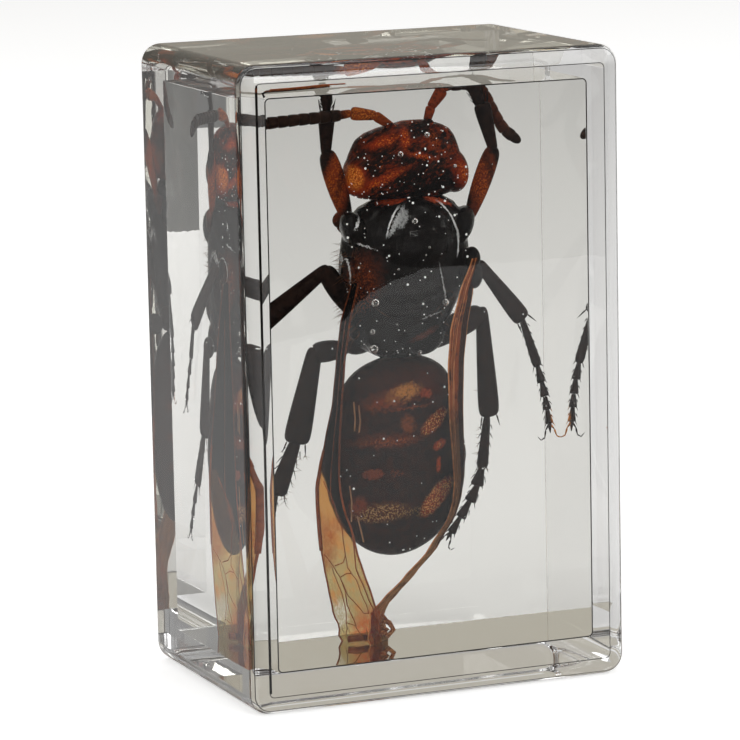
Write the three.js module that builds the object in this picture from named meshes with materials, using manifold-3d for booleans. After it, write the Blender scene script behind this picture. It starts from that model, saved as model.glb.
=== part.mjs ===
// Giant hornet cast in an upright block of clear resin.
//
// Units are millimetres and +Z is up. The origin is at the middle of the
// underside. The broad front face, which shows the hornet's back, looks
// towards -Y. The block is cast in two stages: an inner sharp-edged casting holds
// the insect, and an outer rounded casting holds the inner one. Each casting is
// parted in two halves on a plane through the insect, and each half holds its
// share of the pocket that its contents fill.

import * as THREE from 'three';
import { mergeVertices } from 'three/addons/utils/BufferGeometryUtils.js';
import Module from 'manifold-3d';

// ---------------------------------------------------------------- dimensions

const BLOCK_WIDTH = 44.4;
const BLOCK_DEPTH = 30.6;
const BLOCK_HEIGHT = 70.0;
const CORNER_RADIUS = 2.2;
const FRONT_BEVEL_WIDTH = 1.8;
const FRONT_BEVEL_DEPTH = 0.7;
const BACK_ROUND = 1.0;
const CORNER_STEPS = 5;

// Inner casting, a little wider at its back than at its front.
const INNER_FRONT_Y = -13.1;
const INNER_BACK_Y = 9.9;
const INNER_FRONT_HALF_WIDTH = 18.7;
const INNER_BACK_HALF_WIDTH = 19.3;
const INNER_BOTTOM = 4.2;
const INNER_TOP = 67.0;
const CASTING_GAP = 0.3;

const PARTING_Y = 4.5;
const PARTING_GAP = 0.3;
const POCKET_CLEARANCE = 0.3;

const WING_THICKNESS = 0.35;
const LEG_SIDES = 6;
const TARSUS_SIDES = 5;

// Body ellipsoids: centre, half sizes, segments round and segments high.
const BODY_ELLIPSOIDS = [
  // head capsule, its two swollen cheeks and the face
  [[1.75, 4.2, 57.6], [6.4, 3.9, 4.1], 12, 8],
  [[-1.9, 4.5, 56.2], [3.7, 3.6, 3.1], 10, 6],
  [[5.6, 4.5, 55.9], [3.7, 3.6, 3.1], 10, 6],
  // neck
  [[1.8, 4.6, 53.0], [2.6, 2.2, 2.4], 8, 5],
  // thorax in front, in the middle and behind
  [[2.0, 4.2, 48.8], [6.9, 4.4, 5.0], 12, 8],
  [[1.4, 4.0, 45.6], [7.9, 4.6, 5.8], 12, 8],
  [[0.6, 4.6, 40.0], [6.2, 4.2, 4.8], 12, 7],
  // waist
  [[0.7, 4.8, 35.8], [2.0, 1.8, 1.8], 8, 5],
  // wing roots
  [[-5.2, 1.6, 43.6], [2.0, 1.9, 2.2], 8, 5],
  [[7.9, 1.4, 44.2], [1.7, 1.9, 2.2], 8, 5],
];

// Abdomen: half width at each height, narrowed front to back.
const ABDOMEN_PROFILE = [
  [0, 13.5],
  [3.4, 14.1],
  [6.1, 16.0],
  [7.9, 19.2],
  [8.7, 24.0],
  [8.2, 29.2],
  [6.6, 33.0],
  [3.8, 35.3],
  [0, 35.9],
];
const ABDOMEN_HALF_WIDTH = 8.7;
const ABDOMEN_FLATNESS = 0.51;
const ABDOMEN_CENTRE = [-0.1, 4.7];
const ABDOMEN_SIDES = 14;

// Limbs: each is a chain of points [x, y, z, radius].
const LIMBS = [
  // left front leg: hip, thigh, shin, foot folded back under the top
  { sides: LEG_SIDES, points: [[-2.5, 6.0, 50.6, 1.3], [-6.1, 6.2, 50.6, 1.3]] },
  { sides: LEG_SIDES, points: [[-5.4, 5.4, 51.2, 1.0], [-8.0, 3.2, 59.0, 1.3]] },
  { sides: LEG_SIDES, points: [[-8.0, 3.2, 59.2, 0.8], [-8.1, 3.2, 62.6, 1.0], [-7.9, 3.6, 65.4, 0.8]] },
  { sides: TARSUS_SIDES, points: [[-7.95, 3.5, 64.8, 0.5], [-7.4, 7.0, 65.8, 0.4]] },
  // right front leg
  { sides: LEG_SIDES, points: [[5.0, 6.0, 50.2, 1.3], [8.8, 5.6, 50.6, 1.2]] },
  { sides: LEG_SIDES, points: [[9.2, 4.8, 51.0, 0.9], [11.9, 4.0, 58.4, 1.25]] },
  { sides: LEG_SIDES, points: [[11.8, 4.0, 58.6, 0.8], [10.6, 4.0, 62.4, 1.1], [9.4, 4.2, 65.4, 0.8]] },
  { sides: TARSUS_SIDES, points: [[9.6, 4.2, 64.8, 0.5], [8.4, 7.0, 65.8, 0.4]] },
  // left middle leg
  { sides: LEG_SIDES, points: [[-3.0, 5.4, 41.4, 1.5], [-5.8, 3.6, 41.8, 1.4], [-8.6, 2.2, 46.0, 1.2]] },
  { sides: LEG_SIDES, points: [[-8.7, 2.2, 46.1, 0.9], [-12.4, 3.0, 43.4, 1.1], [-17.0, 4.0, 40.0, 1.2]] },
  { sides: TARSUS_SIDES, points: [[-16.4, 3.9, 40.6, 0.6], [-17.7, 5.0, 36.0, 0.5], [-17.9, 6.6, 30.4, 0.4]] },
  // right middle leg
  { sides: LEG_SIDES, points: [[6.5, 5.0, 42.6, 1.4], [9.2, 3.6, 44.8, 1.0], [14.9, 3.0, 39.0, 1.1]] },
  { sides: TARSUS_SIDES, points: [[14.3, 3.0, 39.8, 0.6], [16.8, 2.4, 32.2, 0.6], [17.4, 1.4, 26.2, 0.5]] },
  // left hind leg, with its broad shin
  { sides: LEG_SIDES, points: [[-2.6, 6.4, 38.0, 1.5], [-5.4, 6.0, 37.0, 1.3], [-9.4, 5.0, 36.4, 1.3]] },
  { sides: LEG_SIDES, points: [[-9.5, 5.0, 36.2, 1.0], [-10.9, 5.0, 31.0, 1.4], [-12.1, 5.0, 27.4, 1.5]] },
  { sides: TARSUS_SIDES, points: [[-12.0, 5.1, 28.4, 0.9], [-14.7, 6.2, 20.8, 0.8], [-15.8, 7.8, 15.2, 0.4]] },
  // right hind leg
  { sides: LEG_SIDES, points: [[1.4, 6.0, 36.6, 1.5], [5.4, 5.0, 37.8, 1.6], [10.1, 4.2, 39.6, 1.2]] },
  { sides: LEG_SIDES, points: [[10.3, 4.2, 39.4, 0.9], [11.0, 4.8, 32.0, 1.1], [11.2, 5.0, 27.7, 1.3]] },
  { sides: TARSUS_SIDES, points: [[11.2, 5.0, 28.8, 0.6], [10.0, 5.0, 23.6, 0.7], [8.6, 5.0, 18.8, 0.6], [5.4, 4.6, 13.8, 0.35]] },
  // left feeler, stretched out sideways
  { sides: TARSUS_SIDES, points: [[-0.3, 3.4, 61.0, 0.5], [-3.0, 2.8, 62.8, 0.6], [-5.2, 2.6, 63.0, 0.75]] },
  { sides: TARSUS_SIDES, points: [[-5.2, 2.6, 63.0, 0.5], [-10.0, 2.4, 62.8, 0.65], [-15.6, 2.4, 62.4, 0.65], [-17.8, 2.6, 61.2, 0.4]] },
  // right feeler, bent over under the top of the casting
  { sides: TARSUS_SIDES, points: [[3.9, 3.4, 61.0, 0.5], [4.5, 3.4, 63.4, 0.55], [6.0, 3.8, 65.4, 0.7]] },
  { sides: TARSUS_SIDES, points: [[6.0, 3.8, 65.4, 0.6], [8.4, 4.4, 65.8, 0.6], [10.9, 5.0, 65.2, 0.6]] },
  { sides: TARSUS_SIDES, points: [[10.9, 5.0, 65.2, 0.6], [12.4, 5.0, 61.6, 0.6], [14.0, 5.0, 59.4, 0.6], [15.6, 5.0, 58.5, 0.4]] },
];

// Left wing: a folded blade on a slanted upright plane, as [along, height].
const LEFT_WING_CENTRE = [-6.7, 1.8];
const LEFT_WING_TURN = THREE.MathUtils.degToRad(-60.2);
const LEFT_WING_OUTLINE = [
  [-3.9, 4.8],
  [-4.5, 12.0],
  [-4.4, 20.0],
  [-3.4, 28.0],
  [-1.8, 36.0],
  [-0.8, 43.6],
  [1.0, 43.6],
  [1.4, 36.0],
  [2.4, 28.0],
  [3.8, 18.0],
  [4.2, 9.0],
  [3.2, 4.8],
];

// Right wing: a ribbon seen edge on, that crosses below the abdomen's tip.
const RIGHT_WING_LINE = [
  [7.7, 44.6],
  [7.3, 36.0],
  [7.0, 27.0],
  [7.1, 20.4],
  [4.2, 14.6],
  [-0.8, 10.0],
  [-4.9, 5.6],
];
const RIGHT_WING_EDGE_WIDTH = 0.45;
const RIGHT_WING_FRONT_Y = -2.0;
const RIGHT_WING_BACK_Y = 2.6;

// ------------------------------------------------------------ solid building

const wasm = await Module();
wasm.setup();

// Turns a closed three.js geometry into a solid that can be joined and cut.
function solidFrom(geometry) {
  const bare = geometry.index ? geometry.toNonIndexed() : geometry.clone();
  bare.deleteAttribute('normal');
  bare.deleteAttribute('uv');
  const merged = mergeVertices(bare, 1e-4);
  const index = merged.index.array;
  const kept = [];
  for (let i = 0; i < index.length; i += 3) {
    const [a, b, c] = [index[i], index[i + 1], index[i + 2]];
    if (a !== b && b !== c && c !== a) {
      kept.push(a, b, c);
    }
  }
  return new wasm.Manifold(new wasm.Mesh({
    numProp: 3,
    vertProperties: new Float32Array(merged.attributes.position.array),
    triVerts: new Uint32Array(kept),
  }));
}

// Turns a finished solid back into a geometry with flat faces.
function geometryFrom(solid) {
  const mesh = solid.getMesh();
  const geometry = new THREE.BufferGeometry();
  geometry.setAttribute('position', new THREE.BufferAttribute(new Float32Array(mesh.vertProperties), 3));
  geometry.setIndex(new THREE.BufferAttribute(new Uint32Array(mesh.triVerts), 1));
  geometry.computeVertexNormals();
  return geometry;
}

function joinAll(solids) {
  return solids.reduce((whole, next) => whole.add(next));
}

// Ellipsoid, grown on every side by the clearance.
function ellipsoid([centre, half, around, high], grow) {
  const geometry = new THREE.SphereGeometry(1, around, high);
  geometry.scale(half[0] + grow, half[1] + grow, half[2] + grow);
  geometry.translate(centre[0], centre[1], centre[2]);
  return solidFrom(geometry);
}

// Abdomen: a turned profile, flattened from front to back.
function abdomen(grow) {
  const low = ABDOMEN_PROFILE[0][1];
  const high = ABDOMEN_PROFILE[ABDOMEN_PROFILE.length - 1][1];
  const middle = (low + high) / 2;
  const stretch = (high - low + 2 * grow) / (high - low);
  const outline = ABDOMEN_PROFILE.map(([radius, z]) => new THREE.Vector2(
    radius === 0 ? 0 : radius + grow,
    middle + (z - middle) * stretch,
  ));
  const geometry = new THREE.LatheGeometry(outline, ABDOMEN_SIDES);
  geometry.rotateX(Math.PI / 2);
  const depth = ABDOMEN_HALF_WIDTH * ABDOMEN_FLATNESS;
  geometry.scale(1, (depth + grow) / (ABDOMEN_HALF_WIDTH + grow), 1);
  geometry.translate(ABDOMEN_CENTRE[0], ABDOMEN_CENTRE[1], 0);
  return solidFrom(geometry);
}

// One limb chain: a cylinder whose rings follow the chain's points, with flat
// ends that the clearance pushes out.
function limb({ sides, points }, grow) {
  const spots = points.map(([x, y, z]) => new THREE.Vector3(x, y, z));
  const last = spots.length - 1;
  const steps = spots.slice(1).map((spot, i) => spot.clone().sub(spots[i]).normalize());
  spots[0].addScaledVector(steps[0], -grow);
  spots[last].addScaledVector(steps[last - 1], grow);
  const overall = spots[last].clone().sub(spots[0]).normalize();
  const reference = Math.abs(overall.y) > 0.8
    ? new THREE.Vector3(1, 0, 0)
    : new THREE.Vector3(0, 1, 0);
  const geometry = new THREE.CylinderGeometry(1, 1, last, sides, last);
  const position = geometry.attributes.position;
  for (let i = 0; i < position.count; i += 1) {
    const ring = Math.round(last / 2 - position.getY(i));
    const along = steps[Math.max(ring - 1, 0)].clone().add(steps[Math.min(ring, last - 1)]).normalize();
    const across = new THREE.Vector3().crossVectors(along, reference).normalize();
    const third = new THREE.Vector3().crossVectors(along, across);
    const radius = points[ring][3] + grow;
    const spot = spots[ring].clone();
    spot.addScaledVector(across, position.getX(i) * radius);
    spot.addScaledVector(third, position.getZ(i) * radius);
    position.setXYZ(i, spot.x, spot.y, spot.z);
  }
  return solidFrom(geometry);
}

function plate(outline, thickness, grow) {
  const shape = new THREE.Shape(outline.map(([a, b]) => new THREE.Vector2(a, b)));
  const options = grow > 0
    ? { depth: thickness, bevelEnabled: true, bevelThickness: grow, bevelSize: grow, bevelSegments: 1 }
    : { depth: thickness, bevelEnabled: false };
  const geometry = new THREE.ExtrudeGeometry(shape, options);
  geometry.translate(0, 0, -thickness / 2);
  return geometry;
}

function leftWing(grow) {
  const geometry = plate(LEFT_WING_OUTLINE, WING_THICKNESS, grow);
  geometry.rotateX(Math.PI / 2);
  geometry.rotateZ(LEFT_WING_TURN);
  geometry.translate(LEFT_WING_CENTRE[0], LEFT_WING_CENTRE[1], 0);
  return solidFrom(geometry);
}

// The right wing's outline is a thin band on both sides of its line.
function rightWing(grow) {
  const left = [];
  const right = [];
  RIGHT_WING_LINE.forEach(([x, z], i) => {
    const before = RIGHT_WING_LINE[Math.max(i - 1, 0)];
    const after = RIGHT_WING_LINE[Math.min(i + 1, RIGHT_WING_LINE.length - 1)];
    const along = new THREE.Vector2(after[0] - before[0], after[1] - before[1]).normalize();
    const half = RIGHT_WING_EDGE_WIDTH / 2;
    left.push([x - along.y * half, z + along.x * half]);
    right.unshift([x + along.y * half, z - along.x * half]);
  });
  const geometry = plate([...left, ...right].reverse(), RIGHT_WING_BACK_Y - RIGHT_WING_FRONT_Y, grow);
  geometry.rotateX(Math.PI / 2);
  geometry.translate(0, (RIGHT_WING_BACK_Y + RIGHT_WING_FRONT_Y) / 2, 0);
  return solidFrom(geometry);
}

// The whole insect. With a clearance it is the shape of the pocket.
function insect(grow) {
  return joinAll([
    ...BODY_ELLIPSOIDS.map((entry) => ellipsoid(entry, grow)),
    abdomen(grow),
    ...LIMBS.map((entry) => limb(entry, grow)),
    leftWing(grow),
    rightWing(grow),
  ]);
}

// Block with rounded corners and an edge bevel on its front and back faces.
function roundedBlock(edgeWidth, edgeDepth, edgeSteps) {
  const halfWidth = BLOCK_WIDTH / 2 - edgeWidth;
  const bottom = edgeWidth;
  const top = BLOCK_HEIGHT - edgeWidth;
  const radius = Math.max(CORNER_RADIUS - edgeWidth, 0.3);
  const shape = new THREE.Shape();
  shape.absarc(halfWidth - radius, top - radius, radius, 0, Math.PI / 2, false);
  shape.absarc(-halfWidth + radius, top - radius, radius, Math.PI / 2, Math.PI, false);
  shape.absarc(-halfWidth + radius, bottom + radius, radius, Math.PI, Math.PI * 1.5, false);
  shape.absarc(halfWidth - radius, bottom + radius, radius, Math.PI * 1.5, Math.PI * 2, false);
  const geometry = new THREE.ExtrudeGeometry(shape, {
    depth: BLOCK_DEPTH - 2 * edgeDepth,
    curveSegments: CORNER_STEPS,
    bevelEnabled: true,
    bevelThickness: edgeDepth,
    bevelSize: edgeWidth,
    bevelSegments: edgeSteps,
  });
  geometry.rotateX(Math.PI / 2);
  geometry.translate(0, BLOCK_DEPTH / 2 - edgeDepth, 0);
  return solidFrom(geometry);
}

// The inner casting, grown on every side by the gap.
function innerCasting(grow) {
  const geometry = new THREE.BoxGeometry(
    2,
    INNER_BACK_Y - INNER_FRONT_Y + 2 * grow,
    INNER_TOP - INNER_BOTTOM + 2 * grow,
  );
  const position = geometry.attributes.position;
  for (let i = 0; i < position.count; i += 1) {
    const half = position.getY(i) < 0 ? INNER_FRONT_HALF_WIDTH : INNER_BACK_HALF_WIDTH;
    position.setX(i, Math.sign(position.getX(i)) * (half + grow));
  }
  geometry.translate(0, (INNER_BACK_Y + INNER_FRONT_Y) / 2, (INNER_TOP + INNER_BOTTOM) / 2);
  return solidFrom(geometry);
}

function slab(fromY, toY) {
  const geometry = new THREE.BoxGeometry(BLOCK_WIDTH + 10, toY - fromY, BLOCK_HEIGHT + 10);
  geometry.translate(0, (fromY + toY) / 2, BLOCK_HEIGHT / 2);
  return solidFrom(geometry);
}

// ------------------------------------------------------------------ the model

const hornetSolid = insect(0);
const hornetPocket = insect(POCKET_CLEARANCE);
const innerSolid = innerCasting(0);
const innerPocket = innerCasting(CASTING_GAP);

const inFront = slab(-BLOCK_DEPTH, PARTING_Y - PARTING_GAP / 2);
const behind = slab(PARTING_Y + PARTING_GAP / 2, BLOCK_DEPTH);

const outerFront = roundedBlock(FRONT_BEVEL_WIDTH, FRONT_BEVEL_DEPTH, 1).intersect(inFront).subtract(innerPocket);
const outerBack = roundedBlock(BACK_ROUND, BACK_ROUND, 3).intersect(behind).subtract(innerPocket);
const innerFront = innerSolid.intersect(inFront).subtract(hornetPocket);
const innerBack = innerSolid.intersect(behind).subtract(hornetPocket);

const resinMaterial = new THREE.MeshStandardMaterial({
  color: 0xe4e3dc,
  roughness: 0.03,
  metalness: 0,
  transparent: true,
  opacity: 0.2,
});
const innerMaterial = new THREE.MeshStandardMaterial({
  color: 0xd8d6c4,
  roughness: 0.03,
  metalness: 0,
  transparent: true,
  opacity: 0.2,
});
const hornetMaterial = new THREE.MeshStandardMaterial({
  color: 0x2a120b,
  roughness: 0.35,
  metalness: 0,
});

const block = new THREE.Group();

const frontMesh = new THREE.Mesh(geometryFrom(outerFront), resinMaterial);
frontMesh.name = 'resin_front_half';
block.add(frontMesh);

const backMesh = new THREE.Mesh(geometryFrom(outerBack), resinMaterial.clone());
backMesh.name = 'resin_back_half';
block.add(backMesh);

const innerFrontMesh = new THREE.Mesh(geometryFrom(innerFront), innerMaterial);
innerFrontMesh.name = 'inner_front_half';
block.add(innerFrontMesh);

const innerBackMesh = new THREE.Mesh(geometryFrom(innerBack), innerMaterial.clone());
innerBackMesh.name = 'inner_back_half';
block.add(innerBackMesh);

const hornetMesh = new THREE.Mesh(geometryFrom(hornetSolid), hornetMaterial);
hornetMesh.name = 'hornet';
block.add(hornetMesh);

export default block;
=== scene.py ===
"""Giant hornet specimen cast in an upright block of clear resin.

Everything is in metres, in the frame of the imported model: the origin is at
the middle of the underside, +Z is up and the broad front face, which shows the
hornet's back, looks towards -Y. Sizes in the code below are in millimetres
and are multiplied by MM.
"""

import math
import random

import bmesh
import bpy
from bpy.props import FloatProperty, FloatVectorProperty, IntProperty, PointerProperty
from mathutils import Matrix, Vector


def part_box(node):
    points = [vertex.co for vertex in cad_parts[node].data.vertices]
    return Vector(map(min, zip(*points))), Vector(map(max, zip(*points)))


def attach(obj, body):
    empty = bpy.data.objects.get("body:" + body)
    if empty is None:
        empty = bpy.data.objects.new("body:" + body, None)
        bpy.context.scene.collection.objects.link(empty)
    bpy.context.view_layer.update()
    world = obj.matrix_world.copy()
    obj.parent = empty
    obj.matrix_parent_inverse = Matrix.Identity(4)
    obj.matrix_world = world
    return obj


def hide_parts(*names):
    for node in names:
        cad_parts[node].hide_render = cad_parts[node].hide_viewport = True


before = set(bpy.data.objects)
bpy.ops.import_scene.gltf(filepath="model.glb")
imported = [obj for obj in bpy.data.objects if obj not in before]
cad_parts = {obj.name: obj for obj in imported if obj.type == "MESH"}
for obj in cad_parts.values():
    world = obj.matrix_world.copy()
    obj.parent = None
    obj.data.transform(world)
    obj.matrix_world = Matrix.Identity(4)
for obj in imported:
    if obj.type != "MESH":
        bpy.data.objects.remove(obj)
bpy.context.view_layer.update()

bl_info = {
    "name": "Resin Specimen Block",
    "version": (1, 0, 0),
    "blender": (4, 5, 0),
    "location": "View3D > Sidebar > Specimen",
    "description": "Models a hornet specimen cast in a clear resin block",
    "category": "Add Mesh",
}

MM = 0.001
FRONT_BOX, BACK_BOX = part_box("resin_front_half"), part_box("resin_back_half")
WIDTH = (FRONT_BOX[1][0] - FRONT_BOX[0][0]) / MM
DEPTH = (BACK_BOX[1][1] - FRONT_BOX[0][1]) / MM
HEIGHT = (FRONT_BOX[1][2] - FRONT_BOX[0][2]) / MM


# --------------------------------------------------------------------------
# Settings
# --------------------------------------------------------------------------


def paint(name, description, colour):
    """A colour setting."""
    return FloatVectorProperty(name=name, description=description, subtype="COLOR", size=4, default=(*colour, 1.0))


class BlockSettings(bpy.types.PropertyGroup):
    """Sizes, in mm, and look of the clear casting."""

    corner: FloatProperty(name="Corner radius", description="Radius of the long corners", default=2.2, min=0.5)
    back_round: FloatProperty(name="Back rounding", description="Radius round the back face", default=1.0, min=0.2)
    outer_ior: FloatProperty(name="Outer IOR", description="Refraction of the outer casting", default=1.49, min=1.3)
    inner_ior: FloatProperty(name="Inner step", description="Refraction against the outer", default=1.11)
    inner_half_width: FloatProperty(name="Inner half width", description="Half the inner width", default=18.7)
    inner_bottom: FloatProperty(name="Inner bottom", description="Height of the inner casting's floor", default=4.3)
    inner_top: FloatProperty(name="Inner top", description="Height of the inner casting's top", default=66.3)
    inner_front: FloatProperty(name="Inner front", description="Y of the inner casting's front", default=-13.1)
    inner_back: FloatProperty(name="Inner back", description="Y of the inner casting's back", default=10.1)
    tint: paint("Tint", "Colour of the inner casting", (0.78, 0.76, 0.62))
    tint_density: FloatProperty(name="Tint density", description="Tint per metre", default=12.0, min=0.0)


class HornetSettings(bpy.types.PropertyGroup):
    """Colours and amounts on the hornet."""

    black: paint("Black", "Dark shell", (0.0075, 0.0055, 0.005))
    brown: paint("Red-brown", "Red-brown shell", (0.085, 0.016, 0.006))
    orange: paint("Orange", "Bright markings", (0.50, 0.085, 0.012))
    amber: paint("Amber", "Wing skin", (0.60, 0.46, 0.20))
    hairs: IntProperty(name="Hairs", description="Hairs on the body and legs", default=420, min=0)
    specks: IntProperty(name="Specks", description="Tiny bubbles and dust round the insect", default=260, min=0)


class StageSettings(bpy.types.PropertyGroup):
    """Floor and light."""

    floor: paint("Floor", "Floor colour", (0.86, 0.86, 0.86))
    back_light: FloatProperty(name="Backdrop", description="Brightness seen through the block", default=0.74, min=0.0)
    key_light: FloatProperty(name="Key light", description="Power of the soft lights, in watts", default=1.8, min=0.0)


# --------------------------------------------------------------------------
# Modelling helpers
# --------------------------------------------------------------------------


def clear_selection():
    """Leave edit mode and deselect everything."""
    if bpy.context.object and bpy.context.object.mode != "OBJECT":
        bpy.ops.object.mode_set(mode="OBJECT")
    bpy.ops.object.select_all(action="DESELECT")


def take(obj):
    """Make one object the only selected one."""
    clear_selection()
    obj.select_set(True)
    bpy.context.view_layer.objects.active = obj
    return obj


def settle(obj):
    """Put an object's place, turn and size into its mesh."""
    take(obj)
    bpy.ops.object.transform_apply(location=True, rotation=True, scale=True)
    return obj


def start_edit(obj, kind="FACE"):
    """Open an object in edit mode with nothing selected."""
    take(obj)
    bpy.ops.object.mode_set(mode="EDIT")
    bpy.ops.mesh.select_mode(type=kind)
    bpy.ops.mesh.select_all(action="DESELECT")


def end_edit():
    """Go back to object mode."""
    bpy.ops.object.mode_set(mode="OBJECT")


def pick(obj, kind, test):
    """Select the faces, edges or vertices whose centre and direction pass a test, and nothing else."""
    mesh = bmesh.from_edit_mesh(obj.data)
    for item in (*mesh.faces, *mesh.edges, *mesh.verts):
        item.select_set(False)
    if kind == "FACE":
        chosen = [face for face in mesh.faces if test(face.calc_center_median(), face.normal)]
    elif kind == "EDGE":
        ends = [(edge, edge.verts[0].co, edge.verts[1].co) for edge in mesh.edges]
        chosen = [edge for edge, a, b in ends if test((a + b) / 2, (b - a).normalized())]
    else:
        chosen = [vert for vert in mesh.verts if test(vert.co, vert.normal)]
    for item in chosen:
        item.select_set(True)
    mesh.select_flush_mode()
    bmesh.update_edit_mesh(obj.data)


def apply_modifier(obj, kind, **values):
    """Add a modifier, set it and apply it."""
    take(obj)
    bpy.ops.object.modifier_add(type=kind)
    modifier = obj.modifiers[-1]
    for name, value in values.items():
        setattr(modifier, name, value)
    bpy.ops.object.modifier_apply(modifier=modifier.name)


def face_out(obj):
    """Turn every face outwards."""
    start_edit(obj)
    bpy.ops.mesh.select_all(action="SELECT")
    bpy.ops.mesh.normals_make_consistent(inside=False)
    end_edit()


def smooth(obj, angle=None):
    """Shade smooth all over, or up to an angle in degrees."""
    take(obj)
    if angle is None:
        bpy.ops.object.shade_smooth()
    else:
        bpy.ops.object.shade_smooth_by_angle(angle=math.radians(angle))


def join(objects, name):
    """Join several objects into one, with its place in its mesh."""
    clear_selection()
    for obj in objects:
        obj.select_set(True)
    bpy.context.view_layer.objects.active = objects[0]
    bpy.ops.object.join()
    whole = bpy.context.view_layer.objects.active
    bpy.ops.object.transform_apply(location=True, rotation=True, scale=True)
    return rename(whole, name)


def rename(obj, name):
    """Name an object and its mesh."""
    obj.name = name
    obj.data.name = name
    return obj


def copy_of(master, matrix):
    """A copy with its own mesh, placed by a matrix."""
    mesh = master.data.copy()
    mesh.transform(matrix)
    obj = bpy.data.objects.new("copy", mesh)
    bpy.context.collection.objects.link(obj)
    return obj


def ball_copy(master, place, radius):
    """A copy of a unit ball at a place in metres, with its radius in mm."""
    return copy_of(master, Matrix.Translation(place) @ Matrix.Diagonal((radius * MM,) * 3 + (1,)))


def remove(*objects):
    """Delete master pieces that were only there to be copied."""
    clear_selection()
    for obj in objects:
        obj.select_set(True)
    bpy.ops.object.delete()


def cuboid(low, high):
    """A box between two corners, in mm."""
    bpy.ops.mesh.primitive_cube_add(size=1.0, location=[(a + b) / 2 * MM for a, b in zip(low, high)])
    obj = bpy.context.object
    obj.scale = [(b - a) * MM for a, b in zip(low, high)]
    return settle(obj)


def lump(centre, half, turn=0.0):
    """A rounded body lump from a sphere, in mm, turned about Y by degrees."""
    bpy.ops.mesh.primitive_uv_sphere_add(
        segments=40, ring_count=24, radius=1.0, location=[c * MM for c in centre], rotation=(0, math.radians(turn), 0)
    )
    obj = bpy.context.object
    obj.scale = [h * MM for h in half]
    return settle(obj)


def drawn_body(rings, sides=56, unit=MM):
    """A body drawn through oval rings: each is (height, left, right, front, back)."""
    height, left, right, near, far = rings[0]
    bpy.ops.mesh.primitive_circle_add(vertices=sides, radius=unit, fill_type="NGON", location=(0, 0, 0))
    obj = bpy.context.object
    bpy.ops.object.mode_set(mode="EDIT")
    bpy.ops.mesh.select_mode(type="FACE")
    bpy.ops.mesh.select_all(action="SELECT")
    bpy.ops.transform.resize(value=((right - left) / 2, (far - near) / 2, 1), center_override=(0, 0, 0))
    bpy.ops.transform.translate(value=((left + right) / 2 * unit, (near + far) / 2 * unit, height * unit))
    for ring in rings[1:]:
        z, l, r, n, f = ring
        step = (((l + r) - (left + right)) / 2 * unit, ((n + f) - (near + far)) / 2 * unit, (z - height) * unit)
        bpy.ops.mesh.extrude_region_move(TRANSFORM_OT_translate={"value": step})
        middle = ((l + r) / 2 * unit, (n + f) / 2 * unit, z * unit)
        bpy.ops.transform.resize(value=((r - l) / (right - left), (f - n) / (far - near), 1), center_override=middle)
        height, left, right, near, far = ring
    bpy.ops.mesh.select_all(action="SELECT")
    bpy.ops.mesh.normals_make_consistent(inside=False)
    end_edit()
    return obj


def turned_rod(outline, sides=12):
    """A unit rod along +Z, drawn through (height, radius) rings."""
    return drawn_body([(height, -radius, radius, -radius, radius) for height, radius in outline], sides, 1.0)


def fuse(objects, name, voxel, passes):
    """Melt lumps into one skin with even faces and soften where they meet."""
    obj = join(objects, name)
    apply_modifier(obj, "REMESH", mode="VOXEL", voxel_size=voxel * MM)
    apply_modifier(obj, "SMOOTH", factor=0.5, iterations=passes)
    smooth(obj)
    return obj


def span(start, end, radius, flat=1.0):
    """The matrix that lays a unit rod from start to end, in mm, with its narrow side towards the front."""
    start, end = Vector(start) * MM, Vector(end) * MM
    along = (end - start).normalized()
    side = Vector((0, 1, 0)) if abs(along.y) < 0.9 else Vector((1, 0, 0))
    across = side.cross(along).normalized()
    turn = Matrix((across, along.cross(across), along)).transposed().to_4x4()
    size = Matrix.Diagonal((radius * MM, radius * MM * flat, (end - start).length, 1))
    return Matrix.Translation(start) @ turn @ size


def tube(spots, radius, closed=False):
    """A round line through spots, in mm, made a mesh."""
    clear_selection()
    bpy.ops.curve.primitive_nurbs_path_add(location=(0, 0, 0))
    curve = bpy.context.object
    data = curve.data
    data.splines.clear()
    spline = data.splines.new("POLY")
    spline.points.add(len(spots) - 1)
    for point, spot in zip(spline.points, spots):
        point.co = (*(Vector(spot) * MM), 1)
    spline.use_cyclic_u = closed
    data.dimensions = "3D"
    data.bevel_depth = radius * MM
    data.bevel_resolution = 1
    data.use_fill_caps = not closed
    take(curve)
    bpy.ops.object.convert(target="MESH")
    return bpy.context.object


def by_place(verts):
    """Vertices in the order of where they lie, because an extruded mesh numbers its own in any order."""
    return sorted(verts, key=lambda vert: tuple(round(part / MM + 0.0037, 2) for part in vert.co))


def finish_piece(obj, material, slot, *replaced):
    """Give a finished piece its material, hang it under the root and hide the parts it replaces."""
    obj.data.materials.append(material)
    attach(obj, "root")
    if replaced:
        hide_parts(*replaced)


# --------------------------------------------------------------------------
# Shader nodes
# --------------------------------------------------------------------------


def feed(socket, value):
    """Link a field to a socket, or set the socket's own value."""
    if isinstance(value, Field):
        value.tree.links.new(value.socket, socket)
    else:
        socket.default_value = value


def add_node(tree, kind, inputs, **settings):
    """A node with its settings and inputs."""
    node = tree.nodes.new("ShaderNode" + kind)
    for name, value in settings.items():
        setattr(node, name, value)
    for label, value in inputs.items():
        feed(node.inputs[label], value)
    return node


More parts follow.
